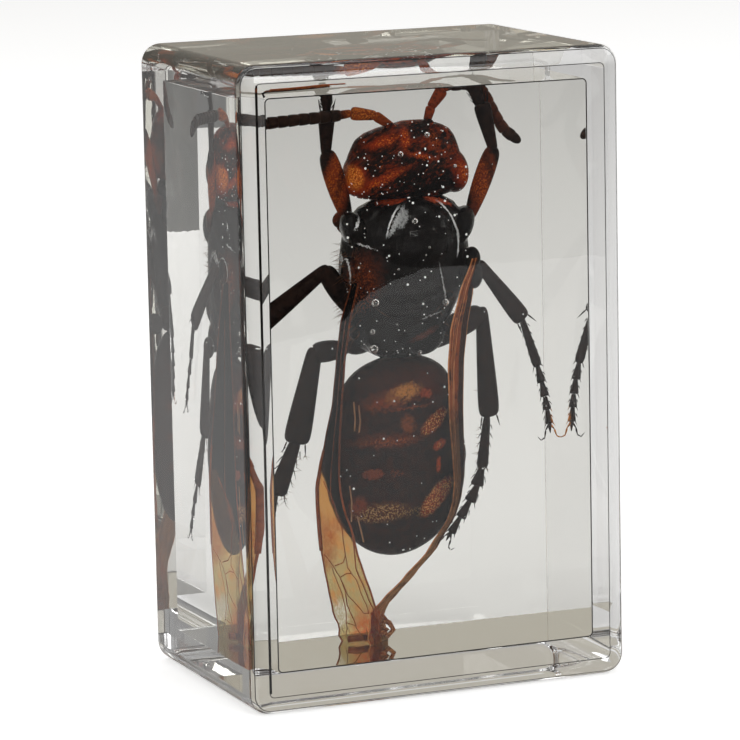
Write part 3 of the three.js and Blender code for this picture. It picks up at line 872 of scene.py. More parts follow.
class ModelAbdomen(bpy.types.Operator):
    """Model the banded abdomen from overlapping plates"""

    bl_idname = "specimen.model_abdomen"
    bl_label = "Model Abdomen"

    def execute(self, context):
        hornet = context.scene.hornet_settings
        # (height, half width, sideways shift): each plate's lower edge stands a little proud of the next.
        stations = [
            (36.6, 0.9, 0.5), (36.0, 1.5, 0.5), (35.5, 3.2, 0.4), (34.9, 4.6, 0.3), (33.9, 5.8, 0.15),
            (32.6, 6.6, 0.0), (31.6, 7.02, -0.15), (31.4, 6.85, -0.15), (30.0, 7.45, -0.2), (28.2, 7.98, -0.26),
            (27.3, 8.22, -0.28), (27.1, 8.03, -0.28), (25.4, 8.36, -0.26), (23.7, 8.47, -0.25), (23.5, 8.27, -0.25),
            (21.8, 8.25, -0.25), (20.2, 7.97, -0.27), (20.0, 7.77, -0.27), (18.6, 7.25, -0.3), (17.3, 6.62, -0.3),
            (17.1, 6.42, -0.3), (16.2, 5.75, -0.33), (15.3, 4.85, -0.37), (14.5, 3.7, -0.42), (13.9, 2.45, -0.47),
            (13.6, 1.2, -0.5), (13.5, 0.35, -0.5),
        ]
        middle, flat = 4.8, 0.54
        rings = [
            (height, shift - half, shift + half, middle - flat * half, middle + flat * half)
            for height, half, shift in stations
        ]
        clear_selection()
        abdomen = drawn_body(rings, sides=64)
        apply_modifier(abdomen, "SUBSURF", levels=1, render_levels=1)
        smooth(abdomen, 60)
        rename(abdomen, "hornet_abdomen")
        brown = tuple(hornet.brown)
        tan, gold, red, rust = (0.42, 0.14, 0.035), (1.0, 0.42, 0.12), (0.5, 0.07, 0.02), (0.26, 0.045, 0.012)
        marks = [
            ((0.6, 0.5, 33.6), (5.6, 6.0, 1.2), 3, 0.6, 0.8, 0.8, 0.8, (0.07, 0.015, 0.006)),
            ((4.2, 0.5, 32.6), (1.9, 6.0, 2.0), -20, 0.7, 1.0, 0.9, 0.8, (0.13, 0.024, 0.008)),
            # first band, tan with a reddish right end
            ((-1.2, 0.0, 31.5), (4.0, 6.0, 1.15), 10, 0.35, 0.8, 1.0, 0.9, (0.17, 0.034, 0.011)),
            ((-2.2, 0.0, 31.1), (2.2, 6.0, 0.6), 10, 0.35, 0.7, 1.4, 0.95, rust),
            ((0.0, 0.0, 32.0), (2.2, 6.0, 0.9), 14, 0.25, 0.6, 1.6, 0.95, tan),
            ((0.4, 0.0, 32.2), (1.3, 6.0, 0.68), 6, 0.3, 0.5, 2.2, 0.95, (0.66, 0.26, 0.06)),
            ((-0.1, 0.0, 31.4), (0.5, 6.0, 0.12), 30, 0.4, 0.5, 2.4, 0.9, (0.04, 0.015, 0.008)),
            ((2.7, 0.0, 31.7), (0.7, 6.0, 0.5), -14, 0.35, 0.5, 1.8, 0.95, red),
            ((0.4, 0.0, 30.3), (2.6, 6.0, 0.12), 4, 0.5, 0.5, 1.6, 0.9, rust),
            # second band, dull red on the left, a grainy golden lozenge on the right
            ((3.6, 0.5, 28.5), (2.0, 6.0, 0.8), 38, 0.3, 0.35, 1.4, 0.95, (0.34, 0.055, 0.012)),
            ((3.6, 0.5, 28.5), (1.85, 6.0, 0.72), 38, 0.3, 0.3, 2.0, 1.0, gold, True),
            ((-2.3, 0.5, 26.9), (3.8, 6.0, 0.75), 0, 0.4, 0.7, 1.1, 0.9, (0.15, 0.03, 0.01)),
            ((-2.0, 0.5, 26.8), (3.2, 6.0, 0.4), 0, 0.4, 0.6, 1.6, 0.95, (0.36, 0.07, 0.02), True),
            ((0.3, 0.5, 28.6), (0.7, 6.0, 1.0), 10, 0.6, 0.7, 1.4, 0.9, (0.3, 0.065, 0.016)),
            ((-5.2, 0.5, 28.6), (0.8, 6.0, 1.8), 0, 0.8, 0.5, 1.2, 0.5, brown),
            # small red spots
            ((4.15, 0.5, 25.9), (0.85, 5.0, 0.46), 28, 0.3, 0.25, 2.0, 1.0, (0.62, 0.09, 0.02)),
            ((4.1, 0.5, 25.85), (0.5, 5.0, 0.22), 28, 0.4, 0.3, 2.6, 0.9, (0.85, 0.3, 0.1), True),
            ((3.95, 0.5, 23.7), (0.3, 5.0, 0.85), -4, 0.3, 0.18, 2.0, 1.0, (0.62, 0.09, 0.02)),
            ((-3.9, 0.5, 23.3), (1.2, 5.0, 0.6), 2, 0.2, 0.3, 1.6, 0.85, (0.3, 0.055, 0.02)),
            ((-1.2, 0.5, 23.2), (0.9, 5.0, 0.45), 2, 0.3, 0.5, 2.0, 0.8, (0.22, 0.045, 0.02), True),
            # lowest band, grainy olive on the left, a bright golden lozenge on the right
            ((-3.2, 0.5, 18.9), (3.4, 5.0, 1.15), 2, 0.3, 0.45, 1.2, 0.95, (0.13, 0.035, 0.012)),
            ((-3.0, 0.5, 18.8), (2.9, 5.0, 0.95), 2, 0.3, 0.4, 2.0, 1.0, (0.62, 0.34, 0.12), True),
            ((1.0, 0.5, 18.6), (1.7, 5.0, 0.5), 4, 0.6, 0.4, 1.6, 0.75, (0.4, 0.22, 0.08), True),
            ((-5.5, 0.5, 19.8), (0.9, 5.0, 1.0), 0, 0.5, 0.4, 1.4, 0.85, (0.34, 0.06, 0.02)),
            ((3.8, 0.5, 20.0), (2.6, 5.0, 1.05), 46, 0.25, 0.3, 1.4, 0.95, (0.5, 0.08, 0.016)),
            ((3.8, 0.5, 20.1), (2.5, 5.0, 1.0), 46, 0.25, 0.25, 2.0, 1.0, (1.0, 0.5, 0.17), True),
        ]
        # rust-coloured bands across the underside
        for height, half in ((31.9, 5.6), (27.6, 6.8), (24.0, 7.0), (20.4, 6.2), (17.4, 4.6)):
            marks.append(((-0.25, 9.6, height), (half, 2.4, 0.55), 0, 0.5, 0.5, 1.2, 0.9, (0.3, 0.06, 0.015)))
        shell = shell_material(
            "abdomen_shell", (0.015, 0.006, 0.0045), (0.055, 0.014, 0.007), marks, gloss=(0.22, 0.42), bump=0.35
        )
        finish_piece(abdomen, shell, "insect_body", "hornet")
        return {"FINISHED"}


# --------------------------------------------------------------------------
# Legs, feelers and wings
# --------------------------------------------------------------------------

# Each limb is a list of (kind, start, end, radius, flatness) in mm.
LEGS = {
    "hornet_leg_front_left": [
        ("hip", (-2.8, 6.4, 50.2), (-6.2, 6.0, 50.9), 1.5, 1.0),
        ("ball", (-6.4, 6.0, 50.9), (-5.3, 5.4, 52.0), 1.0, 1.0),
        ("thigh", (-5.2, 5.4, 51.2), (-8.0, 3.4, 59.0), 1.28, 0.85),
        ("shin", (-8.05, 3.4, 58.9), (-7.9, 3.2, 63.6), 0.98, 0.8),
        ("foot", (-7.9, 3.2, 63.5), (-7.8, 3.7, 65.4), 0.75, 0.8),
        ("toe", (-7.8, 3.7, 65.4), (-7.4, 5.2, 65.5), 0.55, 0.8),
        ("toe", (-7.4, 5.2, 65.5), (-7.0, 6.6, 65.4), 0.5, 0.8),
    ],
    "hornet_leg_front_right": [
        ("hip", (5.6, 6.4, 50.2), (8.8, 5.6, 50.4), 1.3, 1.0),
        ("ball", (8.4, 5.4, 49.8), (9.6, 5.0, 50.9), 0.9, 1.0),
        ("thigh", (9.1, 5.0, 50.4), (12.0, 4.0, 58.2), 1.2, 0.85),
        ("shin", (11.9, 4.0, 58.1), (10.6, 4.0, 63.2), 1.0, 0.8),
        ("foot", (10.5, 4.0, 63.1), (9.5, 4.2, 65.5), 0.85, 0.8),
        ("toe", (9.5, 4.3, 65.4), (9.0, 5.6, 65.5), 0.5, 0.8),
    ],
    "hornet_leg_middle_left": [
        ("hip", (-2.6, 6.0, 41.6), (-5.6, 4.4, 41.4), 1.7, 1.0),
        ("thigh", (-5.3, 4.4, 41.2), (-8.7, 2.6, 46.3), 1.25, 0.9),
        ("shin", (-8.6, 2.6, 46.2), (-17.2, 4.0, 39.9), 1.25, 0.8),
        ("foot", (-17.0, 4.0, 40.3), (-17.6, 4.7, 36.0), 0.6, 0.8),
        ("toe", (-17.6, 4.7, 36.1), (-17.7, 5.3, 34.2), 0.55, 0.8),
        ("toe", (-17.7, 5.3, 34.3), (-17.8, 5.8, 32.6), 0.5, 0.8),
        ("toe", (-17.8, 5.8, 32.7), (-17.8, 6.2, 31.2), 0.5, 0.8),
        ("claws", (-17.8, 6.2, 31.2), (-17.8, 6.6, 29.8), 0.6, 1.0),
    ],
    "hornet_leg_middle_right": [
        ("hip", (5.6, 6.2, 42.2), (8.4, 4.6, 43.6), 1.6, 1.0),
        ("thigh", (8.2, 4.8, 43.4), (10.0, 3.4, 45.4), 1.0, 0.9),
        ("shin", (9.9, 3.2, 45.4), (15.0, 3.0, 38.8), 1.08, 0.8),
        ("foot", (14.8, 3.0, 39.0), (16.6, 2.6, 33.4), 0.58, 0.8),
        ("toe", (16.55, 2.6, 33.5), (17.0, 2.4, 31.6), 0.55, 0.8),
        ("toe", (17.0, 2.4, 31.7), (17.3, 2.2, 30.0), 0.55, 0.8),
        ("toe", (17.3, 2.2, 30.1), (17.5, 2.0, 28.5), 0.52, 0.8),
        ("toe", (17.5, 2.0, 28.6), (17.7, 1.8, 26.9), 0.5, 0.8),
        ("claws", (17.7, 1.8, 27.0), (17.8, 1.6, 25.4), 0.7, 1.0),
    ],
    "hornet_leg_hind_left": [
        ("hip", (-2.0, 7.2, 38.4), (-5.6, 6.2, 37.2), 1.8, 1.0),
        ("thigh", (-5.4, 6.2, 37.0), (-9.7, 5.2, 36.9), 1.3, 0.9),
        ("shin", (-9.5, 5.2, 37.1), (-12.0, 5.0, 27.0), 1.55, 0.7),
        ("foot", (-12.0, 5.1, 27.3), (-14.2, 6.1, 21.4), 1.15, 0.6),
        ("toe", (-14.2, 6.1, 21.6), (-14.8, 6.7, 19.4), 0.6, 0.8),
        ("toe", (-14.8, 6.7, 19.5), (-15.2, 7.1, 17.9), 0.55, 0.8),
        ("toe", (-15.2, 7.1, 18.0), (-15.5, 7.5, 16.4), 0.5, 0.8),
        ("claws", (-15.5, 7.5, 16.4), (-15.7, 7.7, 15.2), 0.6, 1.0),
    ],
    "hornet_leg_hind_right": [
        ("hip", (1.4, 7.0, 38.0), (3.0, 5.4, 36.9), 1.8, 1.0),
        ("thigh", (2.0, 5.0, 36.4), (10.3, 4.2, 39.9), 1.6, 0.8),
        ("shin", (10.3, 4.2, 40.0), (11.2, 5.0, 28.0), 1.25, 0.75),
        ("foot", (10.9, 5.0, 28.0), (10.2, 5.0, 22.2), 0.7, 0.8),
        ("toe", (10.2, 5.0, 22.4), (9.5, 5.0, 20.3), 0.8, 0.8),
        ("toe", (9.6, 5.0, 20.4), (8.6, 4.9, 18.6), 0.75, 0.8),
        ("toe", (8.6, 4.9, 18.7), (7.4, 4.8, 16.9), 0.65, 0.8),
        ("toe", (7.4, 4.8, 17.0), (6.2, 4.7, 15.3), 0.55, 0.8),
        ("claws", (6.2, 4.7, 15.4), (5.3, 4.6, 14.1), 0.6, 1.0),
    ],
}

# Each joint of a leg, as (height, radius) rings of a unit rod.
JOINTS = {
    "hip": [(-0.1, 0.3), (-0.05, 0.7), (0.2, 1.0), (0.6, 0.95), (0.9, 0.7), (1.05, 0.3)],
    "ball": [(-0.2, 0.3), (0.0, 0.8), (0.4, 1.0), (0.8, 0.85), (1.0, 0.4)],
    "thigh": [(-0.04, 0.25), (0.0, 0.5), (0.12, 0.68), (0.4, 0.95), (0.7, 1.0), (0.9, 0.9), (0.98, 0.7), (1.02, 0.35)],
    "shin": [(-0.05, 0.3), (-0.01, 0.6), (0.08, 0.66), (0.3, 0.78), (0.6, 0.95), (0.88, 1.08), (0.97, 1.0), (1.0, 0.6)],
    "foot": [(-0.03, 0.4), (0.0, 0.62), (0.2, 0.75), (0.7, 0.95), (0.95, 1.1), (1.0, 0.7)],
    "toe": [(-0.05, 0.35), (0.0, 0.5), (0.3, 0.62), (0.75, 0.95), (0.94, 1.15), (1.0, 0.6)],
}

FEELERS = {
    "hornet_feeler_left": {
        "scape": [(-0.1, 3.3, 61.2), (-2.4, 2.7, 62.7), (-5.2, 2.6, 63.1)],
        "rings": [
            (-5.3, 2.6, 63.1), (-7.2, 2.5, 62.9), (-11.0, 2.4, 62.8), (-15.4, 2.4, 62.6),
            (-17.2, 2.4, 61.9), (-17.9, 2.6, 60.8),
        ],
    },
    "hornet_feeler_right": {
        "scape": [(3.8, 3.3, 61.4), (4.4, 3.3, 63.2), (5.9, 3.6, 65.0)],
        "rings": [
            (5.9, 3.6, 65.1), (7.2, 4.0, 65.4), (9.2, 4.4, 65.4), (10.9, 4.9, 64.8), (12.0, 5.0, 62.6),
            (13.3, 5.0, 60.2), (15.5, 5.0, 58.5),
        ],
    },
}


def finish_limb(parts, name, material):
    """Join a limb's parts, round them off and finish the piece."""
    limb = join(parts, name)
    apply_modifier(limb, "SUBSURF", levels=1, render_levels=1)
    smooth(limb, 70)
    finish_piece(limb, material, "insect_body", "hornet")


def directions(start, end):
    """Two places as vectors, the way from one to the other, and the way across it."""
    start, end = Vector(start), Vector(end)
    along = (end - start).normalized()
    return start, end, along, Vector((0, 1, 0)).cross(along).normalized()


class ModelLegs(bpy.types.Operator):
    """Model one of each leg joint, then lay copies along the six legs"""

    bl_idname = "specimen.model_legs"
    bl_label = "Model Legs"

    def execute(self, context):
        clear_selection()
        masters = {kind: turned_rod(outline) for kind, outline in JOINTS.items()}
        spine = turned_rod([(0.0, 1.0), (0.5, 0.6), (1.0, 0.12)], sides=5)
        randomly = random.Random(7)
        marks = [
            ((-6.8, 4.4, 55.4), (1.8, 6.0, 4.6), -14, 0.25, 0.5, 1.0, 0.95, (0.30, 0.05, 0.012)),
            ((-7.0, 4.4, 55.4), (1.2, 6.0, 4.2), -14, 0.4, 0.5, 1.6, 1.0, (0.55, 0.11, 0.014), True),
            ((10.6, 4.4, 54.6), (2.1, 6.0, 4.6), 18, 0.25, 0.5, 1.0, 0.95, (0.26, 0.045, 0.012)),
            ((10.4, 4.4, 54.8), (1.3, 6.0, 4.2), 18, 0.4, 0.5, 1.6, 1.0, (0.52, 0.10, 0.014), True),
            ((9.2, 4.4, 50.8), (1.6, 6.0, 1.3), 0, 0.3, 0.4, 1.0, 0.7, (0.24, 0.04, 0.014)),
            ((-6.2, 5.4, 50.8), (1.2, 6.0, 1.4), 0, 0.3, 0.4, 1.0, 0.5, (0.1, 0.025, 0.01)),
            ((-6.0, 4.4, 57.0), (0.5, 6.0, 3.4), -14, 0.5, 0.5, 1.6, 0.8, (0.02, 0.009, 0.006)),
            ((11.6, 4.4, 55.0), (0.5, 6.0, 3.4), 18, 0.5, 0.5, 1.6, 0.8, (0.02, 0.009, 0.006)),
            # the middle right foot is painted bright orange as if lit, a painted highlight
            ((18.8, 2.0, 27.4), (0.9, 2.4, 2.6), 0, 0.2, 0.2, 1.6, 1.0, (0.95, 0.3, 0.02)),
        ]
        shell = shell_material(
            "leg_shell", (0.013, 0.006, 0.0045), (0.032, 0.013, 0.008), marks, gloss=(0.22, 0.45), bump=0.4
        )
        for name, segments in LEGS.items():
            parts = []
            for kind, start, end, radius, flat in segments:
                if kind == "claws":
                    parts += self.claws(spine, start, end, radius)
                    continue
                parts.append(copy_of(masters[kind], span(start, end, radius, flat)))
                if kind in {"toe", "foot"}:
                    parts += self.spines(spine, start, end, radius, kind, randomly)
                if kind == "shin":
                    parts += self.spurs(spine, start, end, radius)
            finish_limb(parts, name, shell)
        remove(spine, *masters.values())
        return {"FINISHED"}

    def spines(self, spine, start, end, radius, kind, randomly):
        """Stiff bristles that point down both edges of a foot joint."""
        start, end, along, across = directions(start, end)
        parts = []
        steps = 6 if kind == "foot" else 2
        for i in range(steps):
            for side in (-1, 1):
                root = start.lerp(end, (i + 0.8) / steps) + across * side * radius * 0.75
                lean = along * 0.75 + across * side * randomly.uniform(0.25, 0.5)
                parts.append(copy_of(spine, span(root, root + lean * radius * randomly.uniform(1.0, 1.5), 0.1)))
        return parts

    def spurs(self, spine, start, end, radius):
        """Two spurs at the lower end of a shin."""
        start, end, along, across = directions(start, end)
        parts = []
        for side in (-1, 1):
            root = end + across * side * radius * 0.7 - along * 0.2
            parts.append(copy_of(spine, span(root, root + along * 1.5 + across * side * 0.35, 0.16)))
        return parts

    def claws(self, spine, start, end, radius):
        """Two hooked claws and the pad between them."""
        start, end, along, across = directions(start, end)
        parts = [copy_of(spine, span(start - along * 0.3, end - along * 0.4, 0.42))]
        reach = end - start
        for side in (-1, 1):
            out = across * side * radius
            bends = ((0.0, 0.0), (0.45, 0.75), (0.95, 1.05), (1.1, 1.7), (0.85, 2.2))
            places = [start + reach * down + out * sideways for down, sideways in bends]
            for first, last, thick in zip(places, places[1:], (0.24, 0.2, 0.15, 0.1)):
                parts.append(copy_of(spine, span(first, last + (last - first) * 0.25, thick)))
        return parts


def point_along(points, distance):
    """The place at a distance along a path."""
    for a, b in zip(points, points[1:]):
        length = (b - a).length
        if distance <= length:
            return a.lerp(b, max(distance, 0) / length)
        distance -= length
    return points[-1]


class ModelFeelers(bpy.types.Operator):
    """Model the two feelers from a stem and a row of rings"""

    bl_idname = "specimen.model_feelers"
    bl_label = "Model Feelers"

    def execute(self, context):
        clear_selection()
        stem = turned_rod([(-0.05, 0.5), (0.0, 0.7), (0.3, 0.8), (0.8, 1.0), (0.97, 0.95), (1.02, 0.5)])
        ring = turned_rod([(-0.06, 0.7), (0.0, 0.9), (0.3, 0.97), (0.85, 1.03), (0.97, 0.97), (1.0, 0.8)])
        tip = turned_rod([(-0.05, 0.7), (0.0, 0.9), (0.4, 0.85), (0.8, 0.6), (1.0, 0.25)])
        marks = [
            ((-2.6, 2.8, 62.6), (3.6, 4.0, 1.6), -14, 0.25, 0.4, 1.2, 0.95, (0.34, 0.06, 0.012)),
            ((-4.0, 2.8, 62.9), (1.9, 4.0, 1.0), 0, 0.4, 0.4, 1.8, 1.0, (0.75, 0.2, 0.03), True),
            ((5.2, 3.4, 63.4), (2.0, 4.0, 2.8), 22, 0.25, 0.4, 1.2, 0.95, (0.34, 0.05, 0.012)),
            ((12.2, 5.0, 62.4), (2.4, 4.0, 4.6), -20, 0.4, 0.4, 1.2, 0.8, (0.13, 0.03, 0.012)),
        ]
        shell = shell_material(
            "feeler_shell", (0.026, 0.012, 0.008), (0.04, 0.018, 0.011), marks, gloss=(0.28, 0.45), pits=8.0, bump=0.4
        )
        for name, path in FEELERS.items():
            low, middle, high = path["scape"]
            parts = [copy_of(stem, span(low, middle, 0.62)), copy_of(stem, span(middle, high, 0.8))]
            points = [Vector(p) for p in path["rings"]]
            total = sum((b - a).length for a, b in zip(points, points[1:]))
            count = max(10, round(total / 1.25))
            for i in range(count):
                first, last = point_along(points, total * i / count), point_along(points, total * (i + 1) / count)
                master = tip if i == count - 1 else ring
                parts.append(copy_of(master, span(first, last, 0.7 if i else 0.5)))
            finish_limb(parts, name, shell)
        remove(stem, ring, tip)
        return {"FINISHED"}


# Wing sheets: (height, back edge x, y, front edge x, y), in mm.
LEFT_WING = [
    (44.6, -5.6, 2.4, -5.2, 1.0), (40.0, -6.9, 3.0, -6.6, 0.0), (36.0, -7.3, 3.8, -7.5, -0.8),
    (31.5, -7.7, 4.4, -8.1, -1.4), (27.0, -8.6, 5.0, -8.5, -1.8), (24.0, -9.3, 5.4, -8.7, -2.0),
    (22.0, -9.7, 5.5, -8.6, -2.0), (20.0, -9.72, 5.5, -8.2, -2.0), (17.4, -9.55, 5.5, -7.25, -2.0),
    (15.1, -9.3, 5.5, -6.75, -2.0), (12.8, -8.95, 5.5, -6.05, -2.0), (10.3, -8.5, 5.5, -5.2, -2.0),
    (8.2, -8.1, 5.5, -4.6, -2.0), (6.4, -7.6, 5.5, -4.45, -2.0), (4.31, -7.0, 5.5, -3.9, -2.0),
]
RIGHT_WING = [
    (46.4, 9.4, 1.2, 8.2, -0.2), (42.8, 8.6, 2.0, 6.4, -1.2), (38.7, 7.9, 2.4, 5.1, -1.8),
    (34.8, 7.5, 2.6, 4.7, -2.0), (29.2, 7.25, 2.6, 4.75, -2.0), (24.0, 7.3, 2.6, 5.1, -2.0),
    (21.7, 7.25, 2.6, 5.2, -2.0), (19.6, 6.9, 2.6, 4.95, -2.0), (17.9, 6.3, 2.6, 4.4, -1.9),
    (14.4, 4.0, 2.5, 1.9, -1.7), (11.3, 1.0, 2.5, -1.3, -1.5), (9.75, -0.7, 2.5, -3.2, -1.4),
    (8.2, -2.3, 2.5, -4.8, -1.3), (6.6, -2.8, 2.6, -5.2, -1.2), (4.31, -2.2, 2.8, -5.0, -1.0),
]

# Rolled wing tips: (radius, path), in mm.
ROLLS = [
    (0.42, [(-7.0, 2.2, 4.9), (-6.0, 1.8, 5.0), (-5.0, 1.6, 4.95), (-4.0, 1.4, 5.0)]),
    (0.3, [(-4.2, 0.6, 5.2), (-3.2, 0.4, 5.5), (-2.6, 0.6, 5.0), (-1.9, 0.8, 5.6), (-2.3, 1.0, 6.4), (-3.0, 1.0, 6.8)]),
    (0.22, [(-3.4, 0.2, 7.6), (-2.9, 0.2, 7.0), (-3.5, 0.2, 6.4), (-2.7, 0.3, 5.8), (-3.6, 0.3, 5.2)]),
    (0.18, [(-4.8, -0.4, 8.0), (-4.2, -0.5, 7.2), (-4.7, -0.5, 6.5), (-4.0, -0.4, 5.8), (-4.5, -0.3, 5.0)]),
]

# Bright lines along the folded wing's edge over the abdomen, painted highlights, in mm.
EDGE_HIGHLIGHTS = [
    [(-6.6, -1.6, 31.8), (-6.5, -1.7, 30.0), (-6.6, -1.7, 28.6)],
    [(-6.0, -1.6, 31.4), (-5.9, -1.7, 29.6), (-6.1, -1.8, 28.4)],
    [(-7.4, -2.1, 22.6), (-7.2, -2.1, 20.8), (-7.3, -2.1, 18.6)],
    [(-6.6, -2.1, 19.2), (-6.2, -2.1, 17.6), (-5.9, -2.1, 16.2)],
]

VEINS = {
    "left": [
        (0.12, [(0.0, 0.0), (0.0, 0.5)]),
        (0.24, [(0.03, 0.46), (0.03, 0.62), (0.0, 0.74)]),
        (0.11, [(0.0, 0.7), (0.0, 0.85), (0.0, 1.0)]),
        (0.12, [(1.0, 0.0), (1.0, 0.5), (1.0, 0.7), (1.0, 0.96)]),
        (0.09, [(0.5, 0.1), (0.55, 0.4), (0.6, 0.6)]),
        (0.07, [(0.36, 0.54), (0.7, 0.602), (0.77, 0.664), (0.69, 0.704), (0.64, 0.745), (0.52, 0.768), (0.34, 0.778)]),
        (0.065, [(0.05, 0.751), (0.3, 0.782), (0.39, 0.811), (0.42, 0.853), (0.39, 0.89), (0.42, 0.911), (0.5, 0.95)]),
        (0.06, [
            (0.39, 0.811), (0.53, 0.799), (0.69, 0.796), (0.8, 0.812), (0.8, 0.849), (0.85, 0.883), (0.86, 0.908),
            (0.72, 0.91), (0.57, 0.888), (0.45, 0.862), (0.39, 0.811),
        ]),
        (0.06, [(0.64, 0.745), (0.6, 0.781), (0.69, 0.796)]),
        (0.05, [(0.23, 0.781), (0.28, 0.818), (0.34, 0.856), (0.34, 0.905), (0.28, 0.942), (0.17, 0.98)]),
        (0.08, [(0.98, 0.687), (0.95, 0.731), (0.87, 0.78), (0.91, 0.826), (0.93, 0.868), (0.98, 0.914)]),
        (0.05, [(0.28, 0.942), (0.44, 0.948), (0.53, 0.98)]),
    ],
    "right": [
        (0.07, [(0.0, 0.0), (0.0, 0.5), (0.0, 1.0)]),
        (0.08, [(1.0, 0.0), (1.0, 0.5), (1.0, 1.0)]),
        (0.06, [(0.55, 0.0), (0.6, 0.3), (0.62, 0.6), (0.6, 1.0)]),
        (0.05, [(0.25, 0.1), (0.28, 0.4), (0.3, 0.7), (0.35, 1.0)]),
        (0.06, [(0.8, 0.05), (0.8, 0.2), (0.84, 0.5), (0.82, 0.8), (0.8, 1.0)]),
        (0.05, [(0.92, 0.15), (0.9, 0.35), (0.94, 0.6)]),
        (0.05, [(0.7, 0.1), (0.68, 0.3), (0.72, 0.55), (0.7, 0.95)]),
        (0.05, [(0.42, 0.6), (0.45, 0.8), (0.5, 1.0)]),
    ],
}

# Points across and along a wing sheet.
COLUMNS, ROWS = 16, 60


class ModelWings(bpy.types.Operator):
    """Draw the folded wing sheets down from their roots and lay the veins on them"""

    bl_idname = "specimen.model_wings"
    bl_label = "Model Wings"

    def execute(self, context):
        hornet = context.scene.hornet_settings
        skin = self.skin_material("wing_skin_left", tuple(hornet.amber), (0.70, 0.30, 0.07), 0.9, (0.3, 0.1, 0.03))
        fold = self.skin_material("wing_skin_right", (0.5, 0.24, 0.09), (0.05, 0.014, 0.007), 0.25, (0.4, 0.08, 0.015))
        # Rust-brown veins with a painted glow, and painted shade on them where the left blade is shaded; the streaks on
        # the right wing are brighter, with a painted glow and painted shade where they lie over the abdomen.
        shaded_vein_patch = [((-7.0, 0.0, 36.0), (4.5, 9.0, 13.5), 0, 0.1, 0.5, 1.0, 0.95, (0.03, 0.010, 0.006))]
        veins = shell_material("wing_vein", (0.34, 0.075, 0.016), (0.12, 0.028, 0.010), shaded_vein_patch, painted_glow=0.1)
        dull = [((5.4, 0.0, 22.0), (4.0, 9.0, 8.8), 0, 0.15, 0.4, 1.0, 0.9, (0.06, 0.015, 0.007))]
        streaks = shell_material("wing_streak", (0.72, 0.3, 0.1), (0.28, 0.06, 0.014), dull, painted_glow=0.1)
        self.sheet("left", LEFT_WING, 0.16, 4, 11, skin, veins)
        self.sheet("right", RIGHT_WING, 0.2, 5, 23, fold, streaks)
        # The tips are rolled up and crumpled where they meet the floor of the inner casting.
        pale = [((-3.2, 1.0, 5.8), (1.8, 6.0, 2.2), 0, 0.6, 0.6, 1.4, 0.95, (0.75, 0.34, 0.12), True)]
        curl = shell_material("wing_tip", (0.22, 0.045, 0.016), (0.5, 0.16, 0.05), pale, gloss=(0.25, 0.45), bump=0.3)
        # the pale lines along the wing's edge are painted highlights
        edge = shell_material("wing_edge_highlight", (0.5, 0.26, 0.13), (0.25, 0.09, 0.04), gloss=(0.25, 0.45))
        self.tubes(ROLLS, "hornet_wing_tips", curl)
        self.tubes([(0.09, path) for path in EDGE_HIGHLIGHTS], "hornet_wing_edges", edge)
        return {"FINISHED"}

    def tubes(self, paths, name, material):
        """A piece of round lines, each given as (radius, path)."""
        piece = join([tube(path, radius) for radius, path in paths], name)
        smooth(piece, 70)
        finish_piece(piece, material, "insect_body", "hornet")

    def sheet(self, side, stations, pleat, folds, seed, skin, veins):
        """One wing: a row of edges drawn down through its stations."""
        clear_selection()
        bpy.ops.mesh.primitive_grid_add(x_subdivisions=COLUMNS, y_subdivisions=1, size=1.0, location=(0, 0, 0))
        wing = bpy.context.object
        # keep one row of edges only, lying along X
        start_edit(wing, "VERT")
        pick(wing, "VERT", lambda place, normal: place.y > 0.1)
        bpy.ops.mesh.delete(type="VERT")
        end_edit()
        order = [vert.index for vert in sorted(wing.data.vertices, key=lambda vert: vert.co.x)]
        points = self.surface(stations, pleat, folds, seed)
        for index, place in zip(order, points[0]):
            wing.data.vertices[index].co = place
        start_edit(wing, "EDGE")
        bpy.ops.mesh.select_all(action="SELECT")
        for line in points[1:]:
            bpy.ops.mesh.extrude_region_move(TRANSFORM_OT_translate={"value": (0, 0, line[0].z - points[0][0].z)})
            mesh = bmesh.from_edit_mesh(wing.data)
            chosen = sorted((vert for vert in mesh.verts if vert.select), key=lambda vert: vert.index)
            for vert, index in zip(chosen, sorted(order)):
                vert.co = line[order.index(index)]
            bmesh.update_edit_mesh(wing.data)
        end_edit()
        apply_modifier(wing, "SOLIDIFY", thickness=0.05 * MM, offset=0.0)
        face_out(wing)
        smooth(wing)
        rename(wing, f"hornet_wing_{side}")
        finish_piece(wing, skin, "insect_body", "hornet")
        self.tubes([(radius, self.vein(points, path)) for radius, path in VEINS[side]], f"hornet_veins_{side}", veins)

    def surface(self, stations, pleat, folds, seed):
        """Points of the pleated sheet, row by row, in metres."""
        randomly = random.Random(seed)
        offsets = [randomly.uniform(-0.35, 0.35) for _ in range(COLUMNS + 1)]
        lines = []
        high, low = stations[0][0], stations[-1][0]
        for j in range(ROWS + 1):
            height = high + (low - high) * j / ROWS
            for a, b in zip(stations, stations[1:]):
                if a[0] >= height >= b[0]:
                    share = (a[0] - height) / (a[0] - b[0])
                    share = share * share * (3 - 2 * share) * 0.3 + share * 0.7
                    back_x, back_y, front_x, front_y = (p + (q - p) * share for p, q in zip(a[1:], b[1:]))
                    break
            line = []
            span_x, span_y = front_x - back_x, front_y - back_y
            width = math.hypot(span_x, span_y)
            normal = Vector((-span_y, span_x, 0)) / width
            crumple = max(0.0, (8.5 - height) / 4.0) * min(1.0, max(0.0, (height - 4.3) / 0.6))
            for i in range(COLUMNS + 1):
                u = i / COLUMNS
                fold = math.sin(u * math.pi * folds + 0.6) * pleat * min(1.0, width / 6)
                fold += offsets[i] * pleat * 0.5 * math.sin(height * 0.5 + i)
                fold += crumple * 0.34 * math.sin(i * 1.9 + height * 2.3)
                place = Vector((back_x + span_x * u, back_y + span_y * u, height)) + normal * fold
                line.append(place * MM)
            lines.append(line)
        return lines

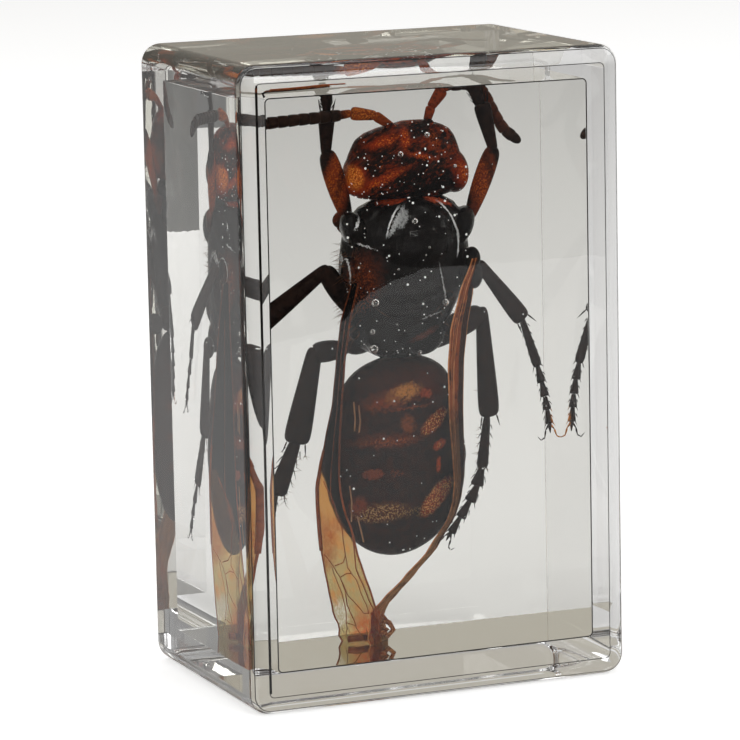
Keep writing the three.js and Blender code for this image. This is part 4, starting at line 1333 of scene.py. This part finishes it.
    def vein(self, points, path):
        """Spots of a vein on the sheet, in mm, from its path in shares of the sheet's width and height."""
        places = []
        for (u0, v0), (u1, v1) in zip(path, path[1:]):
            steps = max(2, int(max(abs(v1 - v0) * ROWS, abs(u1 - u0) * COLUMNS)))
            for k in range(steps):
                s = k / steps
                places.append((u0 + (u1 - u0) * s, v0 + (v1 - v0) * s))
        places.append(path[-1])
        spots = []
        for u, v in places:
            x, y = min(max(u, 0), 1) * COLUMNS, min(max(v, 0), 1) * ROWS
            i, j = min(int(x), COLUMNS - 1), min(int(y), ROWS - 1)
            a = points[j][i].lerp(points[j][i + 1], x - i)
            b = points[j + 1][i].lerp(points[j + 1][i + 1], x - i)
            spots.append(a.lerp(b, y - j) / MM)
        return spots

    def skin_material(self, name, amber, warm, clear, crown):
        """Thin see-through wing skin, browner in blotches, with painted shade where the body keeps light from behind
        it.
        """
        material, tree, shader = new_material(name, Roughness=0.12, IOR=1.02, Transmission_Weight=clear)
        position = millimetre_position(tree)
        blotch = position.noise(0.55, 5.0, 0.65)
        speck = position.noise(3.5, 4.0, 0.7)
        x, y, z = (position.part(axis) for axis in "XYZ")
        # warmer towards the top of the blade
        colour = mix_colour(tree, z.ramp(11.0, 22.0, 0.0, 0.8), amber, warm)
        colour = mix_colour(tree, z.ramp(27.0, 31.0), colour, crown)
        colour = mix_colour(tree, (blotch + speck * 0.5).ramp(0.72, 0.92, 0.0, 0.9), colour, warm)
        grain = speck.ramp(0.4, 0.6, 0.25, 1.0)
        for centre, size, turn, strength, tone in (
            ((-9.0, 5.0, 15.6), (0.9, 6.0, 3.2), 0, 0.95, (0.42, 0.09, 0.015)),
            ((-7.6, 0.0, 19.0), (0.8, 6.0, 2.2), -20, 0.8, (0.5, 0.11, 0.02)),
            ((-4.6, 0.0, 6.6), (1.7, 6.0, 2.3), -14, 1.0, (0.62, 0.10, 0.012)),
            ((-7.5, 4.0, 7.2), (0.7, 6.0, 2.0), -6, 0.8, (0.9, 0.88, 0.8)),
        ):
            patch = use_group(
                tree, "Soft Patch", position, Centre=centre, Size=size, Turn=math.radians(turn),
                Softness=0.5, Wander=0.9, Grain_Size=1.6,
            )
            colour = mix_colour(tree, patch["Mask"] * strength * grain, colour, tone)
        if name.endswith("right"):
            # painted shade along the right blade's back edge
            dark = y.ramp(0.2, 1.4, 0.0, 0.9) * z.ramp(12.0, 18.0)
        else:
            # painted shade over the upper part of the left blade, down to a slanting edge
            edge = (x - y * 0.26 + 9.9) * -2.0
            dark = (z - 22.9 - edge + (blotch - 0.5) * 1.6).ramp(-0.4, 0.4)
        # mix in the painted shade colour
        feed(shader.inputs["Base Color"], mix_colour(tree, dark, colour, (0.016, 0.007, 0.005)))
        return material


# --------------------------------------------------------------------------
# Hair, bubbles and dust
# --------------------------------------------------------------------------


class GrowHair(bpy.types.Operator):
    """Stand fine hairs on the thorax, waist and legs"""

    bl_idname = "specimen.grow_hair"
    bl_label = "Grow Hair"

    def execute(self, context):
        count = context.scene.hornet_settings.hairs
        randomly = random.Random(3)
        clear_selection()
        master = turned_rod([(0.0, 1.0), (0.5, 0.7), (1.0, 0.15)], sides=3)
        hairs = []
        # (piece, where on it in mm, share of the hairs, shortest and longest)
        sources = (
            ("hornet_thorax", lambda p: p.x < -4.6 and 38 < p.z < 49, 0.5, (0.7, 1.5)),
            ("hornet_thorax", lambda p: p.x > 4.6 and 38 < p.z < 43, 0.15, (0.5, 1.1)),
            ("hornet_thorax", lambda p: p.y > 7.2, 0.15, (0.5, 1.0)),
            ("hornet_leg_hind_left", lambda p: p.z < 26 and p.x > -13.6, 0.1, (0.5, 1.0)),
            ("hornet_leg_hind_right", lambda p: 22 < p.z < 34 and p.x < 11, 0.1, (0.4, 0.8)),
        )
        for name, test, share, (short, long) in sources:
            spots = by_place(v for v in bpy.data.objects[name].data.vertices if test(v.co / MM))
            for vert in randomly.sample(spots, min(len(spots), int(count * share))):
                length = randomly.uniform(short, long)
                lean = Vector((randomly.gauss(0, 0.35), randomly.gauss(0, 0.35), randomly.gauss(-0.25, 0.3)))
                tip = vert.co / MM + (vert.normal + lean).normalized() * length
                root = vert.co / MM - vert.normal * 0.1
                hairs.append(copy_of(master, span(root, tip, randomly.uniform(0.022, 0.035))))
        whole = join(hairs, "hornet_hair")
        smooth(whole, 80)
        shell = shell_material("hair", (0.12, 0.045, 0.02), (0.25, 0.11, 0.05), gloss=(0.35, 0.5), bump=0.0)
        finish_piece(whole, shell, "insect_body")
        remove(master)
        return {"FINISHED"}


class AddBubbles(bpy.types.Operator):
    """Add the air bubbles and pale specks caught round the insect; the specks glow with a painted glint"""

    bl_idname = "specimen.add_bubbles"
    bl_label = "Add Bubbles"

    def execute(self, context):
        count = context.scene.hornet_settings.specks
        randomly = random.Random(19)
        clear_selection()
        bpy.ops.mesh.primitive_ico_sphere_add(subdivisions=1, radius=1.0, location=(0, 0, 0))
        grain = bpy.context.object
        bpy.ops.mesh.primitive_ico_sphere_add(subdivisions=3, radius=1.0, location=(0, 0, 0))
        ball = bpy.context.object
        # (piece, share of the specks, how far a face may look backwards, smallest, spread, steepness, height in mm)
        sources = [
            ("hornet_head", 0.34, -0.1, 0.05, 0.11, 4, 0.05),
            ("hornet_thorax", 0.34, -0.1, 0.05, 0.11, 4, 0.05),
            ("hornet_abdomen", 0.2, -0.1, 0.05, 0.11, 4, 0.05),
            *((name, 0.05, 0.2, 0.04, 0.07, 3, 0.0) for name in LEGS),
        ]
        specks = []
        for name, share, limit, least, spread, power, lift in sources:
            spots = by_place(v for v in bpy.data.objects[name].data.vertices if v.normal.y < limit)
            for vert in randomly.sample(spots, int(count * share)):
                size = least + spread * randomly.random() ** power
                specks.append(ball_copy(grain, vert.co + vert.normal * lift * MM, size))
        dust = join(specks, "pale_specks")
        # the specks glow in their pale colour: a painted glint
        pale = shell_material("pale_speck_painted_glint", (0.9, 0.9, 0.88), (0.95, 0.95, 0.93), bump=0.0, painted_glow=0.55)
        finish_piece(dust, pale, "clear_resin")

        big = [
            ((-3.7, -1.2, 42.5), 0.5), ((4.6, -1.2, 41.9), 0.45), ((-4.0, -0.8, 39.3), 0.34),
            ((-3.9, -0.9, 37.4), 0.55), ((0.9, -2.2, 51.2), 0.36), ((-0.2, -0.4, 58.5), 0.34),
            ((3.0, -0.2, 60.4), 0.34), ((6.2, -0.4, 56.8), 0.22), ((-1.0, -1.6, 46.0), 0.16),
            ((2.6, -2.0, 48.2), 0.14), ((2.2, -2.0, 47.4), 0.12), ((-1.4, -2.0, 40.0), 0.13),
            ((1.4, -1.2, 36.6), 0.3),
        ]
        air = join([ball_copy(ball, Vector(centre) * MM, radius) for centre, radius in big], "air_bubbles")
        smooth(air, 180)
        # Air in resin bends light the other way.
        clear, _, _ = new_material(
            "trapped_air", Base_Color=(1, 1, 1, 1), Transmission_Weight=1.0, Roughness=0.02, IOR=0.66
        )
        finish_piece(air, clear, "clear_resin")
        remove(grain, ball)
        return {"FINISHED"}


# --------------------------------------------------------------------------
# Stage
# --------------------------------------------------------------------------

# Front edge of the paper sheet, in metres.
FLOOR_EDGE = [
    (-1.5, -0.2), (0.0, -0.225), (0.06, -0.237), (0.083, -0.2505), (0.09, -0.261), (0.0995, -0.278), (0.1065, -0.287),
    (0.1132, -0.2953), (0.119, -0.3016), (0.1241, -0.3056), (0.1283, -0.3072), (0.1337, -0.3074), (0.147, -0.306),
    (0.22, -0.3), (1.5, -0.3),
]
FLOOR_MIDDLE = 1.2

# Brightness of the room in front of the block, by its place from left (0) to right (1).
SCREEN = ((0.56, 0.85), (0.625, 0.045), (0.76, 0.045), (0.83, 0.4), (0.9, 0.35), (0.94, 0.12), (0.98, 0.14))
LEFT_END, RIGHT_END = 0.6, 0.3


class SetStage(bpy.types.Operator):
    """Lay the pale floor, set the soft lights and aim the camera"""

    bl_idname = "specimen.set_stage"
    bl_label = "Set Stage"

    def execute(self, context):
        settings = context.scene.stage_settings
        self.floor(settings)
        self.sky(context, settings)
        self.lamp("key_left", (-0.5, -0.35, 0.55), 0.5, settings.key_light)
        self.lamp("key_right", (0.6, -0.1, 0.5), 0.4, settings.key_light * 0.6)
        self.lamp("top", (0.0, 0.25, 0.9), 0.7, settings.key_light * 1.3)
        self.lamp("front", (0.14, -0.55, 0.32), 0.25, settings.key_light * 0.6)
        self.camera(context)
        return {"FINISHED"}

    def floor(self, settings):
        """A pale sheet whose front edge ends in a curve some way in front of the block."""
        clear_selection()
        # The sheet lies a hair below the block, so that light can pass between them.
        bpy.ops.mesh.primitive_plane_add(size=3.0, location=(0, FLOOR_MIDDLE, -0.00005))
        floor = bpy.context.object
        start_edit(floor, "VERT")
        pick(floor, "VERT", lambda place, normal: place.y < 0)
        bpy.ops.mesh.delete(type="VERT")
        end_edit()
        bm = bmesh.new()
        bm.from_mesh(floor.data)
        back = sorted(bm.verts, key=lambda vert: vert.co.x)
        edge = [bm.verts.new((x, y - FLOOR_MIDDLE, 0)) for x, y in FLOOR_EDGE]
        bm.faces.new([*edge, back[1], back[0]])
        bm.to_mesh(floor.data)
        bm.free()
        settle(floor)
        floor.name = "stage_floor"
        # Seen directly, the sheet is lifted to white and only keeps its soft shadows.
        paper, tree, shader = new_material(
            "floor_paper", Base_Color=tuple(settings.floor), Roughness=0.8, Specular_IOR_Level=0.1,
            Emission_Strength=0.5,
        )
        feed(shader.inputs["Emission Color"], mix_colour(tree, self.seen(tree), (0, 0, 0), (1, 1, 1)))
        floor.data.materials.append(paper)

    def seen(self, tree):
        """1 where the camera looks straight at the surface."""
        return Field(tree, tree.nodes.new("ShaderNodeLightPath").outputs["Is Camera Ray"])

    def sky(self, context, settings):
        """White behind the block for the camera, pale grey for light that passes through it."""
        world = bpy.data.worlds.new("studio")
        context.scene.world = world
        world.use_nodes = True
        tree = world.node_tree
        place = Field(tree, tree.nodes.new("ShaderNodeTexCoord").outputs["Generated"])
        x, y, z = (place.part(axis) for axis in "XYZ")
        level = settings.back_light
        high = mix_colour(tree, z.ramp(0.3, 0.8), (0.455, 0.43, 0.37), (0.5, 0.5, 0.5))
        back = mix_colour(tree, z.ramp(0.0, 0.03), (level, level, level * 0.985), high)
        # In front, a dark screen stands to the right, so that the polished front stays black over the thorax.
        screen = tree.nodes.new("ShaderNodeValToRGB")
        stops = screen.color_ramp.elements
        for position, tone in SCREEN:
            stops.new(position).color = (tone, tone, tone, 1)
        stops[0].color = (LEFT_END, LEFT_END, LEFT_END, 1)
        stops[-1].color = (RIGHT_END, RIGHT_END, RIGHT_END, 1)
        feed(screen.inputs["Fac"], x.ramp(-1.0, 1.0))
        front = mix_colour(tree, z.ramp(0.02, 0.2), Field(tree, screen.outputs["Color"]), (0.22, 0.22, 0.22))
        room = mix_colour(tree, y.ramp(-0.25, 0.35), front, back)
        feed(tree.nodes["Background"].inputs["Color"], mix_colour(tree, self.seen(tree), room, (1, 1, 1)))

    def lamp(self, name, place, size, power):
        """A soft square light aimed at the middle of the block."""
        data = bpy.data.lights.new(name, "AREA")
        data.size = size
        data.energy = power
        self.aim(name, data, place, (Vector((0, 0, 0.035)) - Vector(place)).to_track_quat("-Z", "Y"))

    def aim(self, name, data, place, turn):
        """Place a light or the camera."""
        obj = bpy.data.objects.new(name, data)
        bpy.context.collection.objects.link(obj)
        obj.location = place
        obj.rotation_mode = "QUATERNION"
        obj.rotation_quaternion = turn
        return obj

    def camera(self, context):
        """Camera low in front, to the left."""
        data = bpy.data.cameras.new("camera")
        data.lens = 209.3
        data.sensor_width = 36.0
        data.clip_start = 0.01
        yaw, pitch, roll = (math.radians(a) for a in (22.589, 9.799, -1.156))
        look = Vector((math.sin(yaw) * math.cos(pitch), math.cos(yaw) * math.cos(pitch), -math.sin(pitch)))
        turn = Matrix.Rotation(-roll, 4, look).to_quaternion() @ look.to_track_quat("-Z", "Y")
        context.scene.camera = self.aim("camera", data, (-0.1821, -0.4340, 0.1150), turn)
        context.scene.view_settings.view_transform = "Standard"
        # Light crosses many clear faces on its way through the block.
        context.scene.cycles.max_bounces = 24
        context.scene.cycles.transmission_bounces = 24
        context.scene.cycles.glossy_bounces = 16


# --------------------------------------------------------------------------
# Panel and registration
# --------------------------------------------------------------------------

STEPS = (
    CastResinBlock,
    ModelHead,
    ModelThorax,
    ModelAbdomen,
    ModelLegs,
    ModelFeelers,
    ModelWings,
    GrowHair,
    AddBubbles,
    SetStage,
)


class SpecimenPanel(bpy.types.Panel):
    """Sidebar panel with the modelling steps in order"""

    bl_idname = "VIEW3D_PT_specimen"
    bl_label = "Resin Specimen"
    bl_space_type = "VIEW_3D"
    bl_region_type = "UI"
    bl_category = "Specimen"

    def draw(self, context):
        for step in STEPS:
            self.layout.operator(step.bl_idname)


CLASSES = (BlockSettings, HornetSettings, StageSettings, *STEPS, SpecimenPanel)


def register():
    for cls in CLASSES:
        bpy.utils.register_class(cls)
    bpy.types.Scene.block_settings = PointerProperty(type=BlockSettings)
    bpy.types.Scene.hornet_settings = PointerProperty(type=HornetSettings)
    bpy.types.Scene.stage_settings = PointerProperty(type=StageSettings)


def unregister():
    del bpy.types.Scene.stage_settings
    del bpy.types.Scene.hornet_settings
    del bpy.types.Scene.block_settings
    for cls in reversed(CLASSES):
        bpy.utils.unregister_class(cls)


def main():
    """Run every step in order."""
    register()
    for step in STEPS:
        group, name = step.bl_idname.split(".")
        getattr(getattr(bpy.ops, group), name)()
    clear_selection()


if __name__ == "__main__":
    main()
